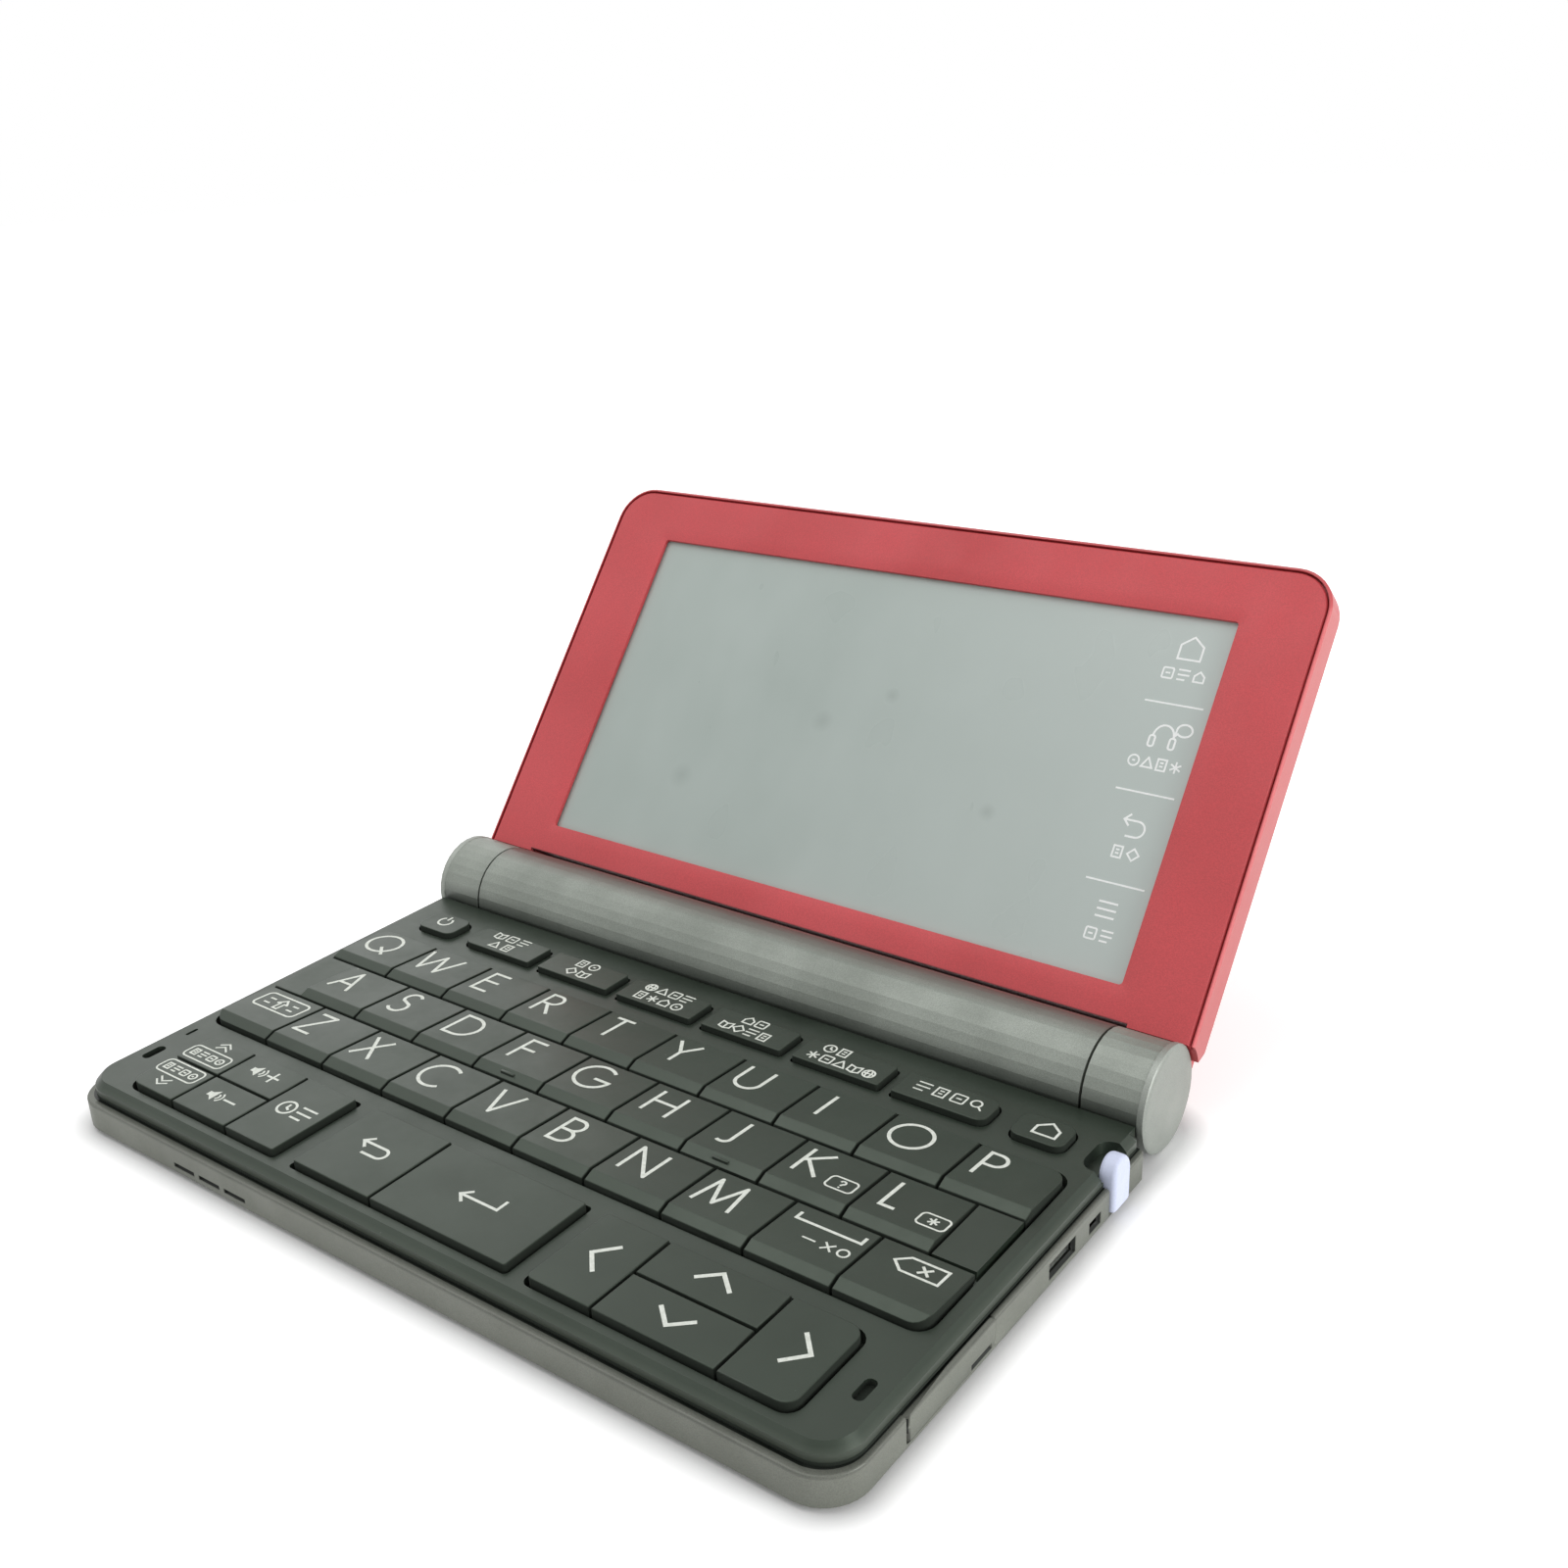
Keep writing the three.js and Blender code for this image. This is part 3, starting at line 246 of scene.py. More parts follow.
class Surface:
    """A material's node tree, with short calls for the nodes used here."""

    def __init__(self, name):
        self.material = bpy.data.materials.new(name)
        self.material.use_nodes = True
        self.tree = self.material.node_tree
        self.shader = self.tree.nodes["Principled BSDF"]
        self.place = self.add("TexCoord", {}, "Object")

    def add(self, kind, inputs, output, **settings):
        return made(self.tree, "ShaderNode" + kind, inputs, output, **settings)

    def noise(self, size, detail=3.0, stretch=None):
        """Soft noise whose lumps are about size millimetres across, longer along axes of a low stretch."""
        place = self.place
        if stretch:
            place = self.add("Mapping", {"Scale": stretch, "Vector": place}, "Vector")
        return self.add("TexNoise", {"Scale": 1 / (size * MM), "Detail": detail, "Vector": place}, "Fac")

    def cells(self, size, output):
        """Random cells about size millimetres across."""
        return self.add("TexVoronoi", {"Scale": 1 / (size * MM), "Vector": self.place}, output)

    def flakes(self, size):
        """One grey value to each tiny flake of paint."""
        return self.add("SeparateColor", {"Color": self.cells(size, "Color")}, "Red")

    def spread(self, value, start, end, low, high):
        """The value between start and end, carried over to low and high."""
        return self.add("MapRange", {"Value": value, "From Min": start, "From Max": end, "To Min": low,
                                     "To Max": high}, "Result")

    def math(self, operation, *values):
        return self.add("Math", dict(enumerate(values)), "Value", operation=operation)

    def vector(self, operation, a, b, output):
        return self.add("VectorMath", {0: a, 1: b}, output, operation=operation)

    def axis(self, letter, vector=None):
        """One coordinate of the place, in metres, or of another vector."""
        return self.add("SeparateXYZ", {"Vector": vector or self.place}, letter)

    def facing(self, letter):
        """How far the bare surface faces along an axis, from -1 to 1."""
        return self.axis(letter, self.add("NewGeometry", {}, "True Normal"))

    def over(self, value, limit):
        """1 where the value, in metres, is over the limit in millimetres."""
        return self.math("GREATER_THAN", value, limit * MM)

    def under(self, value, limit):
        """1 where the value, in metres, is under the limit in millimetres."""
        return self.math("LESS_THAN", value, limit * MM)

    def ramp(self, value, ends, low, high):
        """The value, in metres, between two ends in millimetres, carried over to low and high."""
        return self.spread(value, ends[0] * MM, ends[1] * MM, low, high)

    def opposite(self, share):
        return self.math("SUBTRACT", 1, share)

    def band(self, value, low, high):
        """1 where the value, in metres, lies between low and high millimetres."""
        return self.math("COMPARE", value, (low + high) / 2 * MM, (high - low) / 2 * MM)

    def all_of(self, *shares):
        """The product of several shares."""
        total = shares[0]
        for share in shares[1:]:
            total = self.math("MULTIPLY", total, share)
        return total

    def lid_along(self):
        """How far up the lid from the hinge the place is, in metres."""
        up = (0, cos(radians(lid_lean)), sin(radians(lid_lean)))
        away = self.vector("SUBTRACT", self.place, lid_axis * MM, "Vector")
        return self.vector("DOT_PRODUCT", away, up, "Value")

    def over_deck(self):
        """How much of the deck's shade falls on the barrel's front, just above the deck."""
        low = self.ramp(self.axis("Z"), deck_shade, deep_shade, 0)
        return self.all_of(low, self.over(self.axis("Z"), deck_shade_from),
                           self.under(self.axis("Y"), lid_axis.y))

    def off_middle(self):
        """How far to either side of the object's middle the place is, in metres."""
        return self.math("ABSOLUTE", self.math("SUBTRACT", self.axis("X"), lid_axis.x * MM), 0)

    def at_socket(self):
        """1 over the depth of the charging socket."""
        middle = lid_axis.y + socket_place
        return self.band(self.axis("Y"), middle - socket_half, middle + socket_half)

    def case_inset(self):
        """How far inside the case's round-cornered outline the place is, in metres."""
        middle_y = lid_axis.y + (case_rear - case_front) / 2
        out_x = self.off_middle()
        out_y = self.math("ABSOLUTE", self.math("SUBTRACT", self.axis("Y"), middle_y * MM), 0)
        half_y = (case_rear + case_front) / 2
        past_x = self.math("SUBTRACT", out_x, (case_half - case_corner) * MM)
        past_y = self.math("SUBTRACT", out_y, (half_y - case_corner) * MM)
        round_x = self.math("POWER", self.math("MAXIMUM", past_x, 0), 2)
        round_y = self.math("POWER", self.math("MAXIMUM", past_y, 0), 2)
        outside = self.math("SQRT", self.math("ADD", round_x, round_y), 0)
        inside = self.math("MINIMUM", self.math("MAXIMUM", past_x, past_y), 0)
        return self.math("SUBTRACT", case_corner * MM, self.math("ADD", outside, inside))

    def mix(self, share, a, b):
        """Colour a where the share is 0, and b where it is 1."""
        return self.add("Mix", {0: share, 6: a, 7: b}, 2, data_type="RGBA")

    def shade(self, colour, share, amount):
        """The colour made lighter and darker by up to the amount, as the share goes from 1 to 0."""
        value = self.spread(share, 0, 1, 1 - amount, 1 + amount)
        return self.add("HueSaturation", {"Color": colour, "Value": value}, "Color")

    def bump(self, height, depth, strength=1.0, after=None):
        """Relief of that depth in millimetres, laid over the relief given as after."""
        inputs = {"Distance": depth * MM, "Strength": strength, "Height": height}
        return self.add("Bump", {**inputs, "Normal": after} if after else inputs, "Normal")

    def cloud(self, size):
        """Soft clouds about size millimetres across, from 0 to 1."""
        return self.spread(self.noise(size), 0.35, 0.65, 0, 1)

    def moulded(self, size, tones):
        """Plastic's colour: soft clouds of two tones, with a fine grain."""
        return self.shade(self.mix(self.cloud(size), *tones), self.noise(0.35, 2), 0.08)

    def grain(self, size, strength=0.5):
        """Relief of a fine matt grain."""
        return self.bump(self.noise(size, 2), fine_relief, strength)

    def rubbed(self, low, high):
        """Roughness of plastic that is dull in some places and rubbed in others."""
        rub = self.math("ADD", self.noise(9, 4), self.all_of(self.noise(1.2, 2), 0.35))
        return self.spread(rub, 0.45, 0.9, low, high)

    def worn_paint(self, sparkle, low, high):
        """Roughness of paint, a little different on each flake."""
        wear = self.math("ADD", self.noise(6, 4), self.all_of(sparkle, 0.2))
        return self.spread(wear, 0.4, 0.8, low, high)

    def orange_peel(self, sparkle, depth=0.012, size=1.6, strength=0.35):
        """Relief of paint: its flakes over a slight orange peel."""
        peel = self.bump(self.noise(size, 1), depth, 0.5)
        return self.bump(sparkle, fine_relief, strength, after=peel)

    def finish(self, colour, roughness, normal, **others):
        """Joins the parts to the shader. Values that are the same all over are set on its sockets."""
        inputs = {"Base Color": colour, "Roughness": roughness, "Normal": normal}
        inputs.update((key.replace("_", " "), value) for key, value in others.items())
        fill(self.tree, self.shader, inputs)
        return self.material


def dusted(s, colour):
    """The colour with a few pale specks of dust on it."""
    spacing, reach = 4.0, 0.056
    near = s.spread(s.cells(spacing, "Distance"), 0.0, reach, 1, 0)
    some = s.spread(s.noise(7), 0.62, 0.66, 0, 0.5)
    return s.mix(s.all_of(near, some), colour, DUST_TONE)


def stylus_plastic():
    """Fine matt plastic with a spark-eroded grain, and dull and rubbed places."""
    s = Surface("stylus_plastic")
    colour = s.moulded(14, STYLUS_TONES)
    return s.finish(colour, s.rubbed(0.38, 0.5), s.grain(0.3, 0.6), Specular_IOR_Level=0.5)


def key_plastic():
    """The keys' matt plastic, with painted shade that makes their sides nearly black, where little light
    comes.
    """
    s = Surface("key_plastic")
    colour = dusted(s, s.moulded(14, KEY_TONES))
    # Painted shade: faces that turn away from up, the keys' sides, go nearly black.
    side = s.spread(s.facing("Z"), 0.3, 0.7, 1, 0)
    colour = s.mix(side, colour, GAP_SHADE_TONE)
    rough = s.math("MAXIMUM", s.rubbed(0.3, 0.42), s.all_of(side, 0.9))
    return s.finish(colour, rough, s.grain(0.16), Specular_Tint=GREY_GLOSS)


def deck_plastic():
    """The deck's matt plastic: painted shade, nearly black, in the key wells, small pockets and at its
    wall's foot; a painted highlight on its wall.
    """
    s = Surface("deck_plastic")
    colour = dusted(s, s.moulded(20, DECK_TONES))
    inset, depth, height = s.case_inset(), s.axis("Y"), s.axis("Z")
    front = s.all_of(s.over(inset, front_well_inset), s.under(depth, front_y + front_wells))
    stylus_y = (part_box("stylus")[0].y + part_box("stylus")[1].y) / 2 / MM
    scoop = s.all_of(s.over(s.axis("X"), lid_axis.x + scoop_from),
                     s.band(depth, stylus_y - scoop_half, stylus_y + scoop_half))
    inside = s.math("MAXIMUM", s.over(inset, well_inset), front)
    # Painted shade: near-black below the deck's top in the key wells and small pockets, but not in the
    # finger scoop.
    deep = s.all_of(s.ramp(height, well_shade, 1, 0), inside, s.opposite(scoop))
    wall = s.under(inset, wall_inset)
    # Painted highlight: a paler band low on the deck's outer wall.
    colour = s.mix(s.all_of(wall, s.ramp(height, wall_highlight, 0.8, 0)), colour, WALL_HIGHLIGHT_TONE)
    # Painted shade: a near-black band at the foot of the deck's outer wall, beside the case's rim.
    deep = s.math("MAXIMUM", deep, s.all_of(wall, s.ramp(height, wall_foot_shade, 1, 0)))
    colour = s.mix(deep, colour, GAP_SHADE_TONE)
    rough = s.math("MAXIMUM", s.rubbed(0.3, 0.42), s.all_of(deep, 0.9))
    return s.finish(colour, rough, s.grain(0.14), Specular_Tint=GREY_GLOSS)


def barrel_paint():
    """Metallic paint on plastic: clouds of two tones, sparkling flakes and slight orange peel."""
    s = Surface("barrel_paint")
    sparkle = s.flakes(flake_size)
    colour = s.shade(s.mix(s.cloud(18), *BARREL_TONES), sparkle, 0.13)
    return s.finish(colour, s.worn_paint(sparkle, 0.36, 0.5), s.orange_peel(sparkle), Metallic=0.3,
                    Coat_Weight=0.0, Coat_Roughness=coat_roughness)


def case_paint(name, port_shade_from):
    """The lower case's paint and the barrel's, with painted shade along the rim, on the shoulder and in the
    ports above a level, and rubber feet.
    """
    s = Surface(name)
    cloud, sparkle = s.cloud(16), s.flakes(flake_size)
    inset, depth, height = s.case_inset(), s.axis("Y"), s.axis("Z")
    barrel = s.over(depth, barrel_from)
    on_case = s.opposite(barrel)
    colour = s.mix(barrel, s.mix(cloud, *CASE_TONES), s.mix(cloud, *BARREL_TONES))
    colour = s.shade(colour, sparkle, 0.16)
    under_lid = s.ramp(s.lid_along(), lid_shade, 0, deep_shade)
    colour = s.mix(s.all_of(barrel, under_lid), colour, LID_SHADE_TONE)
    colour = s.mix(s.all_of(barrel, s.over_deck()), colour, SHADE_TONE)
    # Painted shade: the case's wall is a little darker from just below its rim upwards.
    edge = s.ramp(height, shoulder, 0, 0.25)
    colour = s.mix(s.all_of(edge, on_case), colour, SHOULDER_SHADE_TONE)
    # Painted shade: a near-black line on the rim's top, next to the deck's wall.
    turn = [front_y + reach for reach in rim_shade_turn]
    width = s.ramp(depth, turn, *(wide * MM for wide in rim_shade_widths))
    rim_shade = s.all_of(s.math("GREATER_THAN", inset, width), s.over(height, rim_shade_floor))
    # Painted shade: near-black on the case's inner faces, seen through its ports, above a level.
    port_shade = s.all_of(s.over(inset, port_shade_inset), s.band(height, port_shade_from, rim_shade_floor))
    shell = s.all_of(s.over(inset, shell_inset), port_shade, s.at_socket())
    colour = s.mix(s.all_of(on_case, s.math("MAXIMUM", rim_shade, port_shade)), colour, GAP_SHADE_TONE)
    colour = s.mix(s.all_of(on_case, shell), colour, METAL_TONE)
    colour = s.mix(s.under(height, feet_top), colour, RUBBER_TONE)
    normal = s.orange_peel(sparkle, size=1.4, strength=0.4)
    return s.finish(colour, s.worn_paint(sparkle, 0.38, 0.56), normal, Metallic=0.25)


def knuckle_paint():
    """The barrel's paint on a knuckle's drum, and a paler one on its round cap."""
    s = Surface("knuckle_paint")
    cloud, sparkle = s.cloud(18), s.flakes(flake_size)
    cap = s.over(s.off_middle(), cap_from)
    colour = s.shade(s.mix(cap, s.mix(cloud, *BARREL_TONES), s.mix(cloud, *CAP_TONES)), sparkle, 0.13)
    colour = s.mix(s.all_of(s.opposite(cap), s.over_deck()), colour, SHADE_TONE)
    return s.finish(colour, s.worn_paint(sparkle, 0.36, 0.5), s.orange_peel(sparkle), Metallic=0.3)


def lid_paint(name, tones, roughness, flake, coat):
    """The lid's red paint, with painted shade in the notch that the barrel stands in, and a painted
    highlight on its outer walls.
    """
    s = Surface(name)
    sparkle, out = s.flakes(flake), s.off_middle()
    colour = s.shade(s.mix(s.cloud(24), *tones), sparkle, 0.1)
    # Painted highlight: outer side walls, facing sideways, turn a pale pink.
    side = s.spread(s.math("ABSOLUTE", s.facing("X"), 0), 0.6, 0.95, 0, 0.2)
    outer = s.over(out, case_half - outer_skin)
    colour = s.mix(s.all_of(side, outer), colour, LID_SIDE_HIGHLIGHT_TONE)
    # Painted shade: the notch's walls down by the barrel go dark red.
    notch = s.all_of(s.under(out, knuckle_half), s.ramp(s.lid_along(), notch_top, 1, 0))
    colour = s.mix(notch, colour, NOTCH_SHADE_TONE)
    return s.finish(colour, s.worn_paint(sparkle, *roughness), s.orange_peel(sparkle, 0.01), Metallic=0.1,
                    Coat_Weight=coat, Coat_Roughness=coat_roughness)


def ink(name, tones):
    """Pale print: dense ink with thin places and a slightly dry surface."""
    s = Surface(name)
    colour = s.mix(s.cloud(0.7), *tones)
    rough = s.spread(s.noise(0.4, 2), 0.3, 0.7, 0.45, 0.65)
    return s.finish(colour, rough, s.grain(0.12))


def screen_film():
    """Switched-off display under a worn film: soft smears, cloudy patches and small dents, and a painted
    sheen that grows paler to the right.
    """
    s = Surface("screen_film")
    smear, patch = s.noise(9, 1.5, stretch=(1.0, 0.55, 0.55)), s.noise(26, 2)
    both = s.math("ADD", s.all_of(smear, 0.45), s.all_of(patch, 0.55))
    colour = s.mix(s.spread(both, 0.2, 0.8, 0, 1), *SCREEN_TONES)
    # Painted sheen: the screen grows paler towards the right.
    colour = s.mix(s.ramp(s.axis("X"), screen_far, 0, 0.75), colour, SCREEN_SHEEN_TONE)
    dents = None
    for x, along, radius in screen_dents:
        away = s.vector("DISTANCE", s.place, on_lid(x, along, screen_level) * MM, "Value")
        dip = s.ramp(away, (radius * 0.15, radius), 1, 0)
        dents = dip if dents is None else s.math("MAXIMUM", dents, dip)
    colour = s.mix(s.all_of(dents, 0.3), colour, DENT_TONE)
    waves = s.bump(s.noise(12, 1), 0.05, 0.25)
    normal = s.bump(s.opposite(dents), 0.12, 0.5, after=waves)
    return s.finish(colour, s.spread(smear, 0.3, 0.7, 0.26, 0.42), normal, Specular_IOR_Level=0.45)


def printed_board():
    """Green solder mask over copper tracks, and bare metal on the charging socket at the board's side."""
    s = Surface("solder_mask")
    tracks = s.spread(s.noise(1.4, 0, stretch=(1.0, 0.2, 1.0)), 0.52, 0.54, 0, 1)
    socket = s.all_of(s.over(s.axis("X"), lid_axis.x + socket_inside), s.at_socket())
    colour = s.mix(socket, s.mix(tracks, *BOARD_TONES), METAL_TONE)
    rough = s.spread(s.noise(3), 0.3, 0.7, 0.3, 0.45)
    return s.finish(colour, rough, s.bump(tracks, 0.03, 0.6), Metallic=socket)


def cell_sleeve():
    """Shrink sleeve of the battery cells."""
    s = Surface("cell_sleeve")
    colour = s.mix(s.spread(s.noise(8), 0.4, 0.6, 0, 1), *SLEEVE_TONES)
    rough = s.spread(s.noise(2), 0.3, 0.7, 0.25, 0.4)
    return s.finish(colour, rough, s.bump(s.noise(2.2, 2), 0.02, 0.4), Metallic=0.5)


# Places on the object

def on_lid(x, along, level):
    """A point of the lid's own frame: across, up the lid from the barrel's axis, and out of its face."""
    lean = radians(lid_lean)
    y = lid_axis.y + along * cos(lean) - level * sin(lean)
    z = lid_axis.z + along * sin(lean) + level * cos(lean)
    return Vector((lid_axis.x + x, y, z))


def key_top(name):
    """The top of a key: its box in millimetres, and the height of the top at a depth."""
    low, high = (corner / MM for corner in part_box(name))
    if high.z <= edge_level + flat_key_rise:
        return low, high, lambda y: high.z
    slope = (high.z - edge_level) / (high.y - low.y - ridge_setback)
    return low, high, lambda y: edge_level + slope * (high.y - y)


def on_key(level):
    """Places a flat point, and a height above the surface, on a key's top."""
    return lambda x, y, height: Vector((x, y, level(y) + height))


def on_screen(x, along, height):
    return on_lid(x, along, screen_level + height)


# Strokes of the printed marks

def arc(x, y, across, up, start, end):
    """Points on an ellipse round x, y, from one angle in degrees to another."""
    steps = max(2, ceil(abs(end - start) / arc_step))
    turns = [radians(start + (end - start) * i / steps) for i in range(steps + 1)]
    return [(x + across * cos(t), y + up * sin(t)) for t in turns]


def rounded(width, height, corner, x=0.0, y=0.0):
    """A closed box with round corners, about x, y."""
    w, h = width / 2 - corner, height / 2 - corner
    points = []
    for start, cx, cy in ((0, w, h), (90, -w, h), (180, -w, -h), (270, w, -h)):
        points += arc(x + cx, y + cy, corner, corner, start, start + 90)
    return points + points[:1]


def disc(x, y, radius):
    turns = [2 * pi * i / disc_sides for i in range(disc_sides)]
    return [(x + radius * cos(t), y + radius * sin(t)) for t in turns]


def outlines(points, width):
    """One outline for each run of a pen stroke. Corners are mitred, and sharp ones get a round end."""
    half = width / 2
    (first_x, first_y), (last_x, last_y) = points[0], points[-1]
    closed = len(points) > 2 and hypot(first_x - last_x, first_y - last_y) < same_place
    runs = []
    for (x0, y0), (x1, y1) in zip(points, points[1:]):
        length = hypot(x1 - x0, y1 - y0)
        if length > same_place:
            runs.append(((x0, y0), (x1, y1), (-(y1 - y0) / length, (x1 - x0) / length)))
    shapes = []
    for i, (start, end, side) in enumerate(runs):
        shifts = []
        for point, other in ((start, i - 1), (end, i + 1)):
            beyond = closed or 0 <= other < len(runs)
            near = runs[other % len(runs)][2] if beyond else side
            spread = 1 + side[0] * near[0] + side[1] * near[1]
            shift = side
            if spread > least_spread:
                shift = ((side[0] + near[0]) / spread, (side[1] + near[1]) / spread)
            if hypot(*shift) > miter_limit or spread <= least_spread:
                shift = side
                shapes.append(disc(*point, half))
            shifts.append((shift[0] * half, shift[1] * half))
        (ax, ay), (bx, by) = shifts
        shapes.append([(start[0] + ax, start[1] + ay), (start[0] - ax, start[1] - ay),
                       (end[0] - bx, end[1] - by), (end[0] + bx, end[1] + by)])
    return shapes


def joined(shapes):
    """The shapes as one set of flat triangles without overlaps."""
    points, faces = [], []
    for shape in shapes:
        area = sum(a[0] * b[1] - b[0] * a[1] for a, b in zip(shape, shape[1:] + shape[:1]))
        ring = shape if area > 0 else shape[::-1]
        faces.append(list(range(len(points), len(points) + len(ring))))
        points += [Vector(p) for p in ring]
    found, _, triangles, _, _, sources = delaunay_2d_cdt(points, [], faces, 0, merge_distance)
    return found, [t for t, source in zip(triangles, sources) if source]


def new_piece(name, points, faces, material):
    mesh = bpy.data.meshes.new(name)
    mesh.from_pydata(points, [], faces)
    mesh.materials.append(material)
    piece = bpy.data.objects.new(name, mesh)
    bpy.context.scene.collection.objects.link(piece)
    return piece


def printed(name, shapes, place, body, material):
    """Ink lying on a surface. place turns a flat point and a height above the surface into the scene's."""
    flat, triangles = joined(shapes)
    used = sorted({i for t in triangles for i in t})
    order = {old: new for new, old in enumerate(used)}
    count = len(used)
    points = [place(flat[i].x, flat[i].y, ink_proud) * MM for i in used]
    points += [place(flat[i].x, flat[i].y, -ink_depth) * MM for i in used]
    faces = [tuple(order[i] for i in t) for t in triangles]
    edges = {(t[i], t[i - 2]) for t in faces for i in range(3)}
    sides = [(b, a, a + count, b + count) for a, b in edges if (b, a) not in edges]
    faces += [tuple(i + count for i in reversed(t)) for t in faces] + sides
    piece = new_piece(name, points, faces, material)
    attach(piece, body)


def moved(points, x=0.0, y=0.0, scale=1.0):
    return [(x + px * scale, y + py * scale) for px, py in points]


# Letters, drawn with the pen's middle on a cap height of 1

def letter_strokes():
    bowl = arc(0.27, 0.755, 0.25, 0.245, 90, -90)
    belly = arc(0.27, 0.255, 0.28, 0.255, 90, -90)
    return {
        "a": [[(0, 0), (0.38, 1), (0.76, 0)], [(0.13, 0.34), (0.63, 0.34)]],
        "b": [[(0.27, 0.51), (0, 0.51)], [(0.27, 1), (0, 1), (0, 0), (0.27, 0)], bowl, belly],
        "c": [arc(0.53, 0.5, 0.53, 0.53, 50, 310)],
        "d": [[(0.34, 0), (0, 0), (0, 1), (0.34, 1)], arc(0.34, 0.5, 0.5, 0.5, 90, -90)],
        "e": [[(0.56, 1), (0, 1), (0, 0), (0.56, 0)], [(0, 0.53), (0.53, 0.53)]],
        "f": [[(0.52, 1), (0, 1), (0, 0)], [(0, 0.53), (0.48, 0.53)]],
        "g": [arc(0.53, 0.5, 0.53, 0.53, 46, 355)[:-1] + [(1.05, 0.43), (0.58, 0.43)]],
        "h": [[(0, 0), (0, 1)], [(0.74, 0), (0.74, 1)], [(0, 0.53), (0.74, 0.53)]],
        "i": [[(0, 0), (0, 1)]],
        "j": [[(0.4, 1), (0.4, 0.17)] + arc(0.2, 0.17, 0.2, 0.19, 0, -125)],
        "k": [[(0, 0), (0, 1)], [(0.6, 1), (0, 0.47)], [(0.1, 0.56), (0.63, 0)]],
        "l": [[(0, 1), (0, 0), (0.38, 0)]],
        "m": [[(0, 0), (0.16, 1), (0.51, 0.12), (0.86, 1), (1.02, 0)]],
        "n": [[(0, 0), (0, 1), (0.78, 0), (0.78, 1)]],
        "o": [arc(0.53, 0.5, 0.53, 0.53, 0, 360)],
        "p": [[(0.25, 1), (0, 1), (0, 0)], [(0, 0.48), (0.25, 0.48)], arc(0.25, 0.74, 0.26, 0.26, 90, -90)],
        "q": [arc(0.53, 0.5, 0.53, 0.53, 0, 360), [(0.62, 0.3), (1.0, -0.08)]],
        "r": [[(0.25, 1), (0, 1), (0, 0)], [(0, 0.5), (0.25, 0.5)], arc(0.25, 0.75, 0.25, 0.25, 90, -90),
              [(0.2, 0.5), (0.58, 0)]],
        "s": [arc(0.29, 0.77, 0.24, 0.25, 35, 225) + arc(0.26, 0.26, 0.27, 0.28, 48, -150)],
        "t": [[(0, 1), (0.6, 1)], [(0.3, 1), (0.3, 0)]],
        "u": [[(0, 1), (0, 0.33)] + arc(0.36, 0.33, 0.36, 0.35, 180, 360) + [(0.72, 1)]],
        "v": [[(0, 1), (0.38, 0), (0.76, 1)]],
        "w": [[(0, 1), (0.32, 0), (0.64, 0.9), (0.96, 0), (1.28, 1)]],
        "x": [[(0.03, 1), (0.7, 0)], [(0.67, 1), (0, 0)]],
        "y": [[(0, 1), (0.36, 0.48), (0.72, 1)], [(0.36, 0.48), (0.36, 0)]],
        "z": [[(0.02, 1), (0.6, 1), (0, 0), (0.6, 0)]],
    }


cap_height = 6.15
cap_setback = {"qwertyuiop": 1.25, "asdfghjkl": 1.4, "zxcvbnm": 1.7}
cap_middle = {
    "q": 4.75, "w": 4.6, "e": 3.85, "r": 3.75, "t": 4.05, "y": 4.0, "u": 4.35, "i": 3.95, "o": 4.8,
    "p": 3.85, "a": 3.7, "s": 3.8, "d": 4.55, "f": 4.3, "g": 4.65, "h": 4.75, "j": 3.9, "k": 4.2,
    "l": 4.1, "z": 3.3, "x": 3.4, "c": 4.3, "v": 4.6, "b": 4.3, "n": 4.65, "m": 4.7,
}
plain_key_width = 13.5


def print_letters(material):
    """A letter on each letter key, measured from the key's left and back edges."""
    strokes = letter_strokes()
    for row, setback in cap_setback.items():
        for letter in row:
            node = "key_" + letter
            _, high, level = key_top(node)
            left = high.x - plain_key_width
            reach = [x for stroke in strokes[letter] for x, _ in stroke]
            x = left + cap_middle[letter] - (min(reach) + max(reach)) / 2 * cap_height
            y = high.y - setback - cap_height
            shapes = []
            for stroke in strokes[letter]:
                shapes += outlines(moved(stroke, x, y, cap_height), letter_stroke)
            if letter == "k":
                shapes += small_box(left + 8.1, y + 0.75, query_mark())
            if letter == "l":
                shapes += small_box(left + 8.9, y + 0.55, star_mark())
            printed("print_" + letter, shapes, on_key(level), node, material)


# Small marks and icons, each about its own middle

def pen(lines, width):
    """The outlines of several strokes of one pen."""
    return [shape for line in lines for shape in outlines(line, width)]


def small_box(x, y, mark):
    """A framed second mark, to the lower right of the letter."""
    width, height, corner = 4.4, 2.85, 0.75
    middle = x + width / 2
    lines = [rounded(width, height, corner, middle, y)] + [moved(line, middle, y) for line in mark]
    return pen(lines, box_stroke)


def query_mark():
    return [arc(0, 0.42, 0.42, 0.4, 170, -55) + [(0, -0.2), (0, -0.4)], [(0, -0.68), (0, -0.95)]]


def star_mark(reach=0.85):
    return [[(-reach * cos(t), -reach * sin(t)), (reach * cos(t), reach * sin(t))]
            for t in (radians(30), radians(90), radians(150))]


def chevron(width, height, turn):
    """An open arrowhead of that width and height, pointing up and then turned by so many degrees."""
    points = [(-width / 2, -height / 2), (0, height / 2), (width / 2, -height / 2)]
    t = radians(turn)
    return [(x * cos(t) - y * sin(t), x * sin(t) + y * cos(t)) for x, y in points]


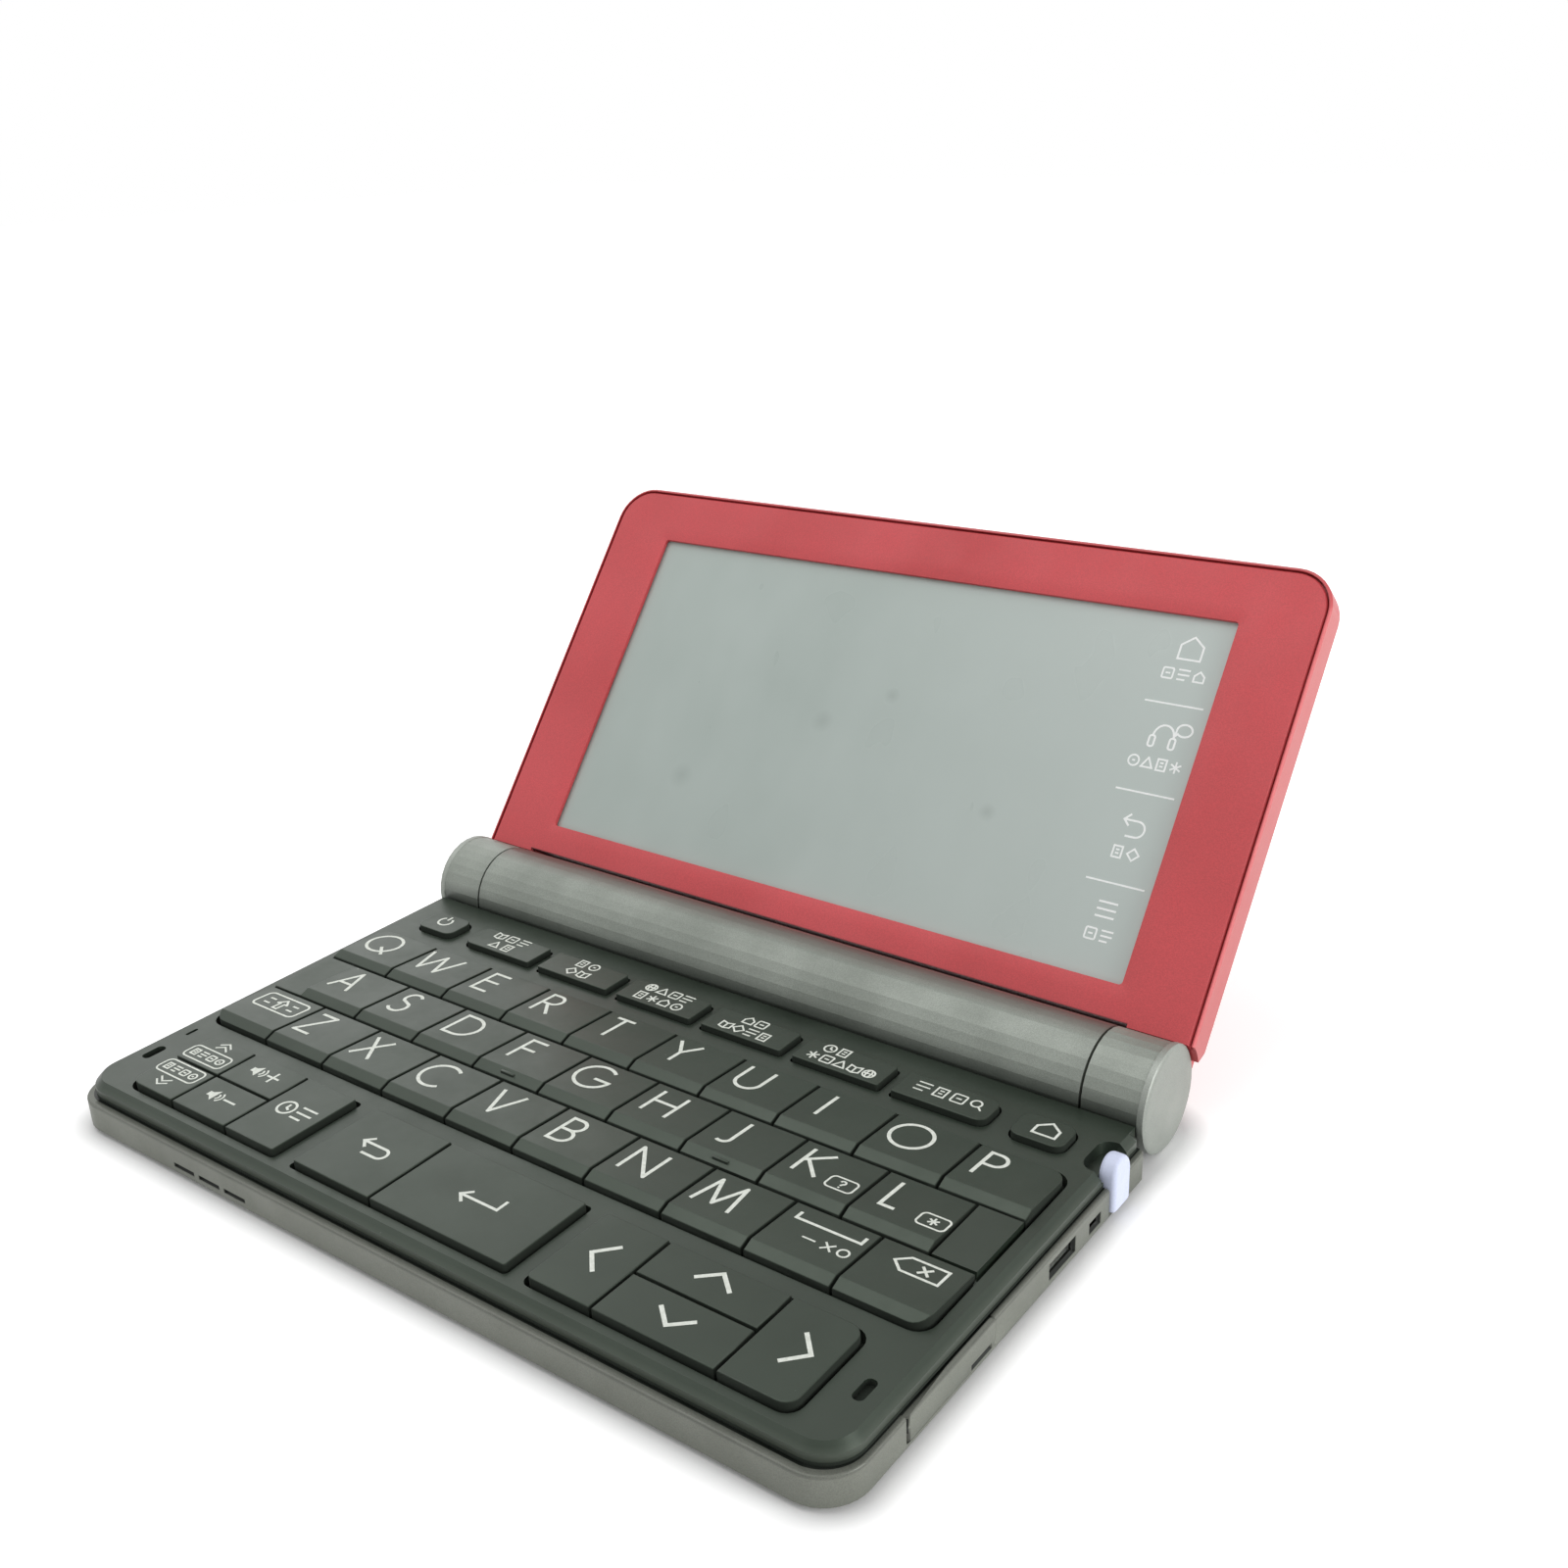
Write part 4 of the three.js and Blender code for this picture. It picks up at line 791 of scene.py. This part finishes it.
def text_rows(width, rows, gap, x=0.0, y=0.0):
    """Short lines under each other, as a page of text is drawn in an icon."""
    top = y + gap * (len(rows) - 1) / 2
    return [[(x - width / 2, top - gap * i), (x - width / 2 + width * share, top - gap * i)]
            for i, share in enumerate(rows)]


def house(half, low, eaves, top):
    """The outline of a house that reaches half to each side of its middle."""
    return [(-half, low), (-half, eaves), (0, top), (half, eaves), (half, low), (-half, low)]


def power_icon():
    return pen([arc(0, -0.15, 1.35, 1.35, 125, 415), [(0, 0.35), (0, 1.7)]], icon_stroke)


def small_marks():
    """Small pictograms, each on lines that reach 1 to each side of its middle."""
    return {
        "book": [[(-1, 0.75), (0, 0.45), (1, 0.75), (1, -0.7), (0, -1), (-1, -0.7), (-1, 0.75)],
                 [(0, 0.45), (0, -1)]],
        "ring": [arc(0, 0, 0.9, 0.9, 0, 360), [(-0.25, 0), (0.25, 0)]],
        "bars": text_rows(2, (1, 1, 0.7), 0.85),
        "diamond": [[(0, 1), (1, 0), (0, -1), (-1, 0), (0, 1)]],
        "box": [rounded(1.8, 1.8, 0.25), [(-0.4, 0), (0.4, 0)]],
        "cone": [[(-0.95, -0.8), (0, 0.9), (0.95, -0.8), (-0.95, -0.8)]],
        "house": [house(0.85, -0.85, 0.15, 0.95)],
        "globe": [arc(0, 0, 0.95, 0.95, 0, 360), arc(0, 0, 0.4, 0.95, 0, 360), [(-0.95, 0), (0.95, 0)]],
        "lens": [arc(-0.2, 0.2, 0.7, 0.7, 0, 360), [(0.3, -0.3), (0.95, -0.95)]],
        "clock": [arc(0, 0, 0.95, 0.95, 0, 360), [(0, 0.55), (0, 0), (0.45, -0.25)]],
        "page": [[(-0.75, 0.95), (-0.75, -0.95), (0.75, -0.95), (0.75, 0.95), (-0.75, 0.95)],
                 [(-0.3, 0.35), (0.3, 0.35)], [(-0.3, -0.25), (0.3, -0.25)]],
        "star": star_mark(1.0),
    }


def mark_row(names, reach, pitch, x=0.0, y=0.0):
    """A row of small pictograms about x, y."""
    lines = []
    names = names.split()
    for i, name in enumerate(names):
        middle = x + (i - (len(names) - 1) / 2) * pitch
        lines += [moved(line, middle, y, reach) for line in small_marks()[name]]
    return lines


def two_rows(upper, lower, pitch=2.75, shift=0.0):
    """Two rows of small pictograms, in place of two rows of words."""
    reach, rise = 1.05, 1.45
    rows = mark_row(upper, reach, pitch, shift, rise) + mark_row(lower, reach, pitch, 0, -rise)
    return pen(rows, fine_stroke)


def shift_icon():
    """An outlined arrow up, in a round-cornered frame."""
    head, neck, half = 1.15, 0.5, 1.5
    arrow = [(0, half), (head, 0.25), (neck, 0.25), (neck, -half), (-neck, -half), (-neck, 0.25),
             (-head, 0.25), (0, half)]
    bars = [[(side * 2.2, up), (side * 3.6, up)] for side in (-1, 1) for up in (-0.75, 0.75)]
    return pen([rounded(10.2, 4.6, 1.0), arrow] + bars, icon_stroke)


def space_icon():
    """A space bar, and a dash, cross and ring for the other signs."""
    bar = [[(-5.2, 1.6), (-5.2, 0.1), (5.2, 0.1), (5.2, 1.6)]]
    small = [[(-2.0, -3.0), (0.1, -3.0)], [(1.3, -2.2), (2.9, -3.8)], [(1.3, -3.8), (2.9, -2.2)],
             arc(4.5, -3.0, 0.8, 0.8, 0, 360)]
    return pen(bar, icon_stroke * 1.2) + pen(small, box_stroke)


def delete_icon():
    """A tag pointing left with a cross in it."""
    tag = [(-3.7, 0), (-2.0, 1.6), (3.6, 1.6), (3.6, -1.6), (-2.0, -1.6), (-3.7, 0)]
    cross = [[(0.1, 0.8), (1.7, -0.8)], [(0.1, -0.8), (1.7, 0.8)]]
    return pen([tag] + cross, icon_stroke)


def page_icon(turn):
    """A framed row of marks with two small arrowheads beyond it, up for 0 and down for 180."""
    way = 1 if turn == 0 else -1
    lines = [rounded(9.3, 3.3, 0.95, 0, -1.5 * way)]
    lines += mark_row("page bars box ring", 0.75, 2.05, 0, -1.5 * way)
    for up in (1.45, 2.4):
        lines.append(moved(chevron(2.7, 0.95, turn), 0, up * way))
    return pen(lines, fine_stroke)


def speaker_icon(sign):
    """A speaker with two waves, and a plus or minus sign."""
    body = [[(-3.2, 0.5), (-2.5, 0.5), (-2.5, -0.5), (-3.2, -0.5)],
            [(-2.5, 0.5), (-1.5, 1.3), (-1.5, -1.3), (-2.5, -0.5)]]
    waves = [arc(-1.6, 0, 0.9, 0.75, 50, -50), arc(-1.6, 0, 1.6, 1.3, 50, -50)]
    lines = [[(0.5, 0), (3.2, 0)]] + ([[(1.85, -1.35), (1.85, 1.35)]] if sign > 0 else [])
    return body + pen(waves, box_stroke) + pen(lines, icon_stroke)


def history_icon():
    """A clock, and rows of text."""
    return pen(mark_row("clock bars", 1.6, 3.9), icon_stroke)


def return_icon():
    """An arrow that turns back to the left."""
    line = [(-3.0, 0.75), (1.7, 0.75)] + arc(1.7, -0.4, 1.15, 1.15, 90, -90) + [(-1.2, -1.55)]
    return pen([line, [(-1.7, 1.95), (-3.0, 0.75), (-1.7, -0.45)]], icon_stroke * 1.2)


def enter_icon():
    """An arrow that goes down and then left."""
    return pen([[(3.6, 1.7), (3.6, -0.5), (-3.4, -0.5)], [(-2.0, 0.8), (-3.4, -0.5), (-2.0, -1.8)]],
               icon_stroke * 1.2)


def key_icons():
    """Key, icon, and how far the icon's middle lies right of and behind the middle of the key's top."""
    side, low = (2.75, 5.9), (5.75, 2.55)
    return (
        ("power", power_icon(), -0.25, 0.6),
        ("home", pen([house(1.8, -1.65, 0.198, 1.65)], icon_stroke), 0.62, 0.35),
        ("words_1", two_rows("book box bars", "cone page", 2.9), -0.35, 0.35),
        ("words_2", two_rows("page ring", "diamond book"), -0.2, 0.35),
        ("words_3", two_rows("globe cone box bars", "page star house ring", 2.6), -0.15, 0.35),
        ("words_4", two_rows("house box", "book diamond bars page", 2.5), -0.3, 0.35),
        ("words_5", two_rows("clock page", "star box cone book globe", 2.6, shift=-2.6), 0.05, 0.35),
        ("contents", pen(mark_row("bars page box lens", 1.2, 3.1), fine_stroke), 0.45, 0.35),
        ("shift", shift_icon(), 0.2, 2.45), ("space", space_icon(), 0.4, 2.9),
        ("delete", delete_icon(), 0.6, 2.8),
        ("previous", page_icon(0), -0.55, 0.3), ("next", page_icon(180), -0.5, 0.4),
        ("volume_up", speaker_icon(1), -0.1, 0.5), ("volume_down", speaker_icon(-1), -0.1, 0.45),
        ("history", history_icon(), 0.2, 0.55), ("back", return_icon(), -0.05, 0.5),
        ("enter", enter_icon(), 0.25, 0.4),
        ("left", pen([chevron(side[1], side[0], 90)], arrow_stroke), -0.1, 0.4),
        ("right", pen([chevron(side[1], side[0], -90)], arrow_stroke), 1.0, 0.4),
        ("up", pen([chevron(*low, 0)], arrow_stroke), 0.1, 0.9),
        ("down", pen([chevron(*low, 180)], arrow_stroke), 0.1, 0.0),
    )


def print_icons(material):
    """An icon on each key that isn't a letter, in place of the words on the real keys."""
    for name, shapes, right, behind in key_icons():
        node = "key_" + name
        low, high, level = key_top(node)
        x, y = (low.x + high.x) / 2 + right, (low.y + high.y) / 2 + behind
        placed = [moved(shape, x, y) for shape in shapes]
        printed("print_" + name, placed, on_key(level), node, material)


# Icons down the screen's right side

# Small marks under each icon: their names, place up the lid and spacing
strip_marks = {
    "home": ("box bars house", 66.3, 2.7), "listen": ("ring cone page star", 50.7, 2.4),
    "back": ("page diamond", 35.3, 2.7), "menu": ("box bars", 21.5, 2.7),
}


def headphones():
    """Headphones, and a speech bubble beside them."""
    band = arc(0, 0, 1.75, 2.0, 0, 180)
    cups = [rounded(0.95, 1.9, 0.4, side * 1.75, -0.95) for side in (-1, 1)]
    bubble = arc(3.2, 1.6, 1.3, 1.05, -140, 190)
    return [band] + cups + [bubble + [(1.75, 0.35), bubble[0]]]


def strip_icons():
    """Each icon of the screen's strip, and its middle, up the lid."""
    back = [[(-1.9, 1.0), (0.6, 1.0)] + arc(0.6, -0.35, 1.35, 1.35, 90, -90) + [(-1.0, -1.7)],
            [(-0.9, 2.0), (-1.9, 1.0), (-0.9, 0.0)]]
    menu = [[(-1.65, up), (1.65, up)] for up in (-1.2, 0.0, 1.2)]
    return (("home", [house(1.95, -2.0, 0.45, 2.0)], 71.0), ("listen", headphones(), 55.4),
            ("back", back, 39.8), ("menu", menu, 25.7))


def print_strip(material):
    """The strip's icons and the dividers between them, on the screen's face."""
    for name, lines, middle in strip_icons():
        names, below, pitch = strip_marks[name]
        shapes = pen([moved(line, strip_middle, middle) for line in lines], strip_stroke)
        shapes += pen(mark_row(names, 1.0, pitch, strip_middle, below), fine_stroke)
        printed("strip_" + name, shapes, on_screen, "lid", material)
    ends = (strip_middle - strip_divider / 2, strip_middle + strip_divider / 2)
    for number, along in enumerate((61.1, 45.6, 30.1), 1):
        shapes = outlines([(x, along) for x in ends], fine_stroke)
        printed("strip_line_%d" % number, shapes, on_screen, "lid", material)


# Finish of the CAD pieces

weld_reach = 0.001
flat_angle = 0.3
hard_angle = 50.0
deck_bevel_rise = 1.2
marker_corners = ("Low", "High", "Flat Low", "Flat High")


def geometry_group(name, vectors=(), numbers=()):
    """A geometry node group with those inputs, its calls for nodes and links, and its two end nodes."""
    group = bpy.data.node_groups.new(name, "GeometryNodeTree")
    for kind, names in (("Geometry", ["Geometry"]), ("Vector", vectors), ("Float", numbers)):
        for socket in names:
            group.interface.new_socket(socket, in_out="INPUT", socket_type="NodeSocket" + kind)
    group.interface.new_socket("Geometry", in_out="OUTPUT", socket_type="NodeSocketGeometry")
    new = group.nodes.new
    return group, new, group.links.new, new("NodeGroupInput"), new("NodeGroupOutput")


def edge_marker():
    """Geometry nodes that smooth all but the flat box, mark edges for a bevel and keep other sharp ones."""
    group, new, join, start, end = geometry_group("edge_marker", marker_corners, ("Angle", "Hard Angle"))
    place, angle = new("GeometryNodeInputPosition"), new("GeometryNodeInputMeshEdgeAngle")

    def boolean(operation, *values):
        node = new("FunctionNodeBooleanMath")
        node.operation = operation
        for value, socket in zip(values, node.inputs):
            join(value, socket)
        return node.outputs[0]

    def boxed(low, high):
        ends = []
        for operation, bound in (("GREATER_EQUAL", low), ("LESS_EQUAL", high)):
            compare = new("FunctionNodeCompare")
            compare.data_type, compare.mode, compare.operation = "VECTOR", "ELEMENT", operation
            join(place.outputs["Position"], compare.inputs["A"])
            join(start.outputs[bound], compare.inputs["B"])
            ends.append(compare.outputs["Result"])
        return boolean("AND", *ends)

    def sharper(limit):
        compare = new("FunctionNodeCompare")
        compare.operation = "GREATER_THAN"
        join(angle.outputs["Unsigned Angle"], compare.inputs[0])
        join(start.outputs[limit], compare.inputs[1])
        return compare.outputs["Result"]

    chosen = boolean("AND", boxed("Low", "High"), sharper("Angle"))
    hard = boolean("AND", sharper("Hard Angle"), boolean("NOT", chosen))
    smooth, edges = new("GeometryNodeSetShadeSmooth"), new("GeometryNodeSetShadeSmooth")
    edges.domain = "EDGE"
    edges.inputs["Shade Smooth"].default_value = False
    store = new("GeometryNodeStoreNamedAttribute")
    store.data_type, store.domain = "FLOAT", "EDGE"
    store.inputs["Name"].default_value = "bevel_weight_edge"
    join(boolean("NOT", boxed("Flat Low", "Flat High")), smooth.inputs["Shade Smooth"])
    join(hard, edges.inputs["Selection"])
    join(chosen, store.inputs["Value"])
    join(start.outputs["Geometry"], smooth.inputs["Geometry"])
    join(smooth.outputs["Geometry"], edges.inputs["Geometry"])
    join(edges.outputs["Geometry"], store.inputs["Geometry"])
    join(store.outputs["Geometry"], end.inputs["Geometry"])
    return group


def foot_cut():
    """Geometry nodes that take off the pointed lower back corner of the lid's two outer walls."""
    group, new, join, start, end = geometry_group("foot_cut")
    cut = new("GeometryNodeMeshBoolean")
    cut.operation = "DIFFERENCE"
    join(start.outputs["Geometry"], cut.inputs["Mesh 1"])
    slant = radians(lid_lean + cut_slant)
    inward = Vector((0, -sin(slant), cos(slant)))
    for side in (-1, 1):
        block, place = new("GeometryNodeMeshCube"), new("GeometryNodeTransform")
        block.inputs["Size"].default_value = (2 * cut_wall * MM, cut_block * MM, cut_block * MM)
        middle = on_lid(side * case_half, *cut_point) - inward * cut_block / 2
        place.inputs["Translation"].default_value = middle * MM
        place.inputs["Rotation"].default_value = (slant, 0, 0)
        join(block.outputs["Mesh"], place.inputs["Geometry"])
        join(place.outputs["Geometry"], cut.inputs["Mesh 2"])
    join(cut.outputs["Mesh"], end.inputs["Geometry"])
    return group


def dress(node, material, marker, width=0.0, segments=2, angle=28.0, box=everywhere, flat=nowhere):
    """A CAD piece's material, small rounded edges inside the box, and facets left flat in the flat box."""
    piece = frame["nodes"][node]
    for slot in piece.material_slots:
        slot.link = "OBJECT"
        slot.material = material
    weld = piece.modifiers.new("weld", "WELD")
    weld.merge_threshold = weld_reach * MM
    level = piece.modifiers.new("level", "DECIMATE")
    level.decimate_type = "DISSOLVE"
    level.angle_limit = radians(flat_angle)
    if node == "lid_cover":
        piece.modifiers.new("cut", "NODES").node_group = foot_cut()
    mark = piece.modifiers.new("mark", "NODES")
    mark.node_group = marker
    sockets = {item.name: item.identifier for item in marker.interface.items_tree if item.in_out == "INPUT"}
    for name, corner in zip(marker_corners, box + flat):
        mark[sockets[name]] = [value * MM for value in corner]
    mark[sockets["Angle"]], mark[sockets["Hard Angle"]] = radians(angle), radians(hard_angle)
    if width:
        bevel = piece.modifiers.new("edge", "BEVEL")
        bevel.limit_method = "WEIGHT"
        bevel.width = width * MM
        bevel.segments = segments
        bevel.use_clamp_overlap = node != "stylus"
        bevel.miter_outer = "MITER_ARC"
    even = piece.modifiers.new("even", "WEIGHTED_NORMAL")
    even.keep_sharp = True
    even.weight = 80


def dress_pieces():
    marker = edge_marker()
    corner = everywhere[1]
    keys, knuckles = key_plastic(), knuckle_paint()
    key_tops = ((-far, -far, edge_level - bevel_below_edge), corner)
    deck_top = ((-far, -far, rim_level + deck_bevel_rise), corner)
    barrel = ((-far, barrel_from, -far), corner)
    drums = ((lid_axis.x - cap_from, -far, -far), (lid_axis.x + cap_from, far, far))
    cover = lid_paint("lid_paint", LID_TONES, (0.38, 0.45), flake_size, 0.15)
    bezel = lid_paint("bezel_paint", BEZEL_TONES, (0.44, 0.56), 0.14, 0.0)
    for node in frame["nodes"]:
        if node.startswith("key_"):
            dress(node, keys, marker, 0.16, angle=14.0, box=key_tops)
    for node in ("knuckle_left", "knuckle_right"):
        dress(node, knuckles, marker, 0.3, angle=60.0, flat=drums)
    dress("upper_case", deck_plastic(), marker, 0.15, box=deck_top)
    dress("lower_case", case_paint("case_paint", ports_from), marker, flat=barrel)
    dress("card_flap", case_paint("flap_paint", flap_ports_from), marker)
    dress("battery_cover", barrel_paint(), marker, flat=everywhere)
    dress("lid_cover", cover, marker, 0.15)
    dress("lid_bezel", bezel, marker, 0.15)
    dress("screen_panel", screen_film(), marker, 0.1, segments=1)
    dress("stylus", stylus_plastic(), marker, 0.75, segments=4)
    dress("main_board", printed_board(), marker)
    dress("batteries", cell_sleeve(), marker, 0.3)


def lid_lip(material):
    """A dark sheet under the lid's edge, in the notch's painted shade, which narrows the gap over the barrel
    and stands for the shade in it.
    """
    corners = [on_lid(x, along, level) * MM for x in (-lip_half, lip_half)
               for along in lip_along for level in lip_level]
    faces = [(0, 1, 3, 2), (4, 6, 7, 5), (0, 4, 5, 1), (2, 3, 7, 6), (0, 2, 6, 4), (1, 5, 7, 3)]
    piece = new_piece("lid_lip", corners, faces, material)
    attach(piece, "lid")


# Stage, lights and camera

def seen_rays(tree):
    """1 for rays from the camera, a gloss or a glass, and 0 for those that light the object."""
    path = tree.nodes.new("ShaderNodeLightPath")
    total = path.outputs["Is Camera Ray"]
    for name in ("Is Glossy Ray", "Is Transmission Ray"):
        total = made(tree, "ShaderNodeMath", {0: total, 1: path.outputs[name]}, "Value", operation="MAXIMUM")
    return total


def stage_floor():
    """A pale floor with painted light: its glow, seen only by the camera and in reflections, grows with
    distance from the case, keeping the shadow near it and the floor white away from it.
    """
    s = Surface("floor_white")
    away = s.all_of(s.case_inset(), -1)
    # Painted light: the glow is faint at the case and strong farther out, so the object's shadow fades
    # within a few millimetres.
    low, middle, high = floor_glow
    glow = s.math("ADD", s.ramp(away, glow_reach[:2], low, middle),
                  s.ramp(away, glow_reach[1:], 0, high - middle))
    fill(s.tree, s.shader, {
        "Base Color": floor_tone, "Roughness": 0.9, "Specular IOR Level": 0.0,
        "Emission Color": WHITE, "Emission Strength": s.all_of(seen_rays(s.tree), glow)})
    half = floor_size / 2
    corners = [(x, y, floor_height) for x, y in ((-half, -half), (half, -half), (half, half), (-half, half))]
    floor = new_piece("floor", corners, [(0, 1, 2, 3)], s.material)


def white_world():
    """White to the camera and in reflections, and a plain level of light on the object."""
    world = bpy.data.worlds.new("white_room")
    bpy.context.scene.world = world
    world.use_nodes = True
    tree = world.node_tree
    light = {"Value": seen_rays(tree), "To Min": world_level, "To Max": 1.0}
    level = made(tree, "ShaderNodeMapRange", light, "Result")
    fill(tree, tree.nodes["Background"], {"Color": WHITE, "Strength": level})


def lamp(name, place, size, power):
    """A large soft lamp that looks at the middle of the object."""
    light = bpy.data.lights.new(name, "AREA")
    light.shape, light.size, light.energy = "DISK", size, power
    piece = bpy.data.objects.new(name, light)
    piece.location = place
    middle = (Vector(cad_box[0]) + Vector(cad_box[1])) / 2
    piece.rotation_euler = (middle - Vector(place)).to_track_quat("-Z", "Y").to_euler()
    bpy.context.scene.collection.objects.link(piece)


def set_camera():
    data = bpy.data.cameras.new("camera")
    data.lens, data.sensor_width, data.clip_start = camera_lens, camera_sensor, 0.01
    camera = bpy.data.objects.new("camera", data)
    camera.location = (lid_axis + Vector(camera_from_hinge)) * MM
    camera.rotation_euler = [radians(turn) for turn in camera_turn]
    bpy.context.scene.collection.objects.link(camera)
    bpy.context.scene.camera = camera


def light_scene():
    bpy.context.scene.view_settings.view_transform = "Standard"
    stage_floor()
    white_world()
    for settings in lamps:
        lamp(*settings)


light_scene()
set_camera()
dress_pieces()
print_letters(ink("legend_ink", INK_TONES))
print_icons(bpy.data.materials["legend_ink"])
print_strip(ink("strip_ink", STRIP_TONES))
lid_lip(bpy.data.materials["lid_paint"])
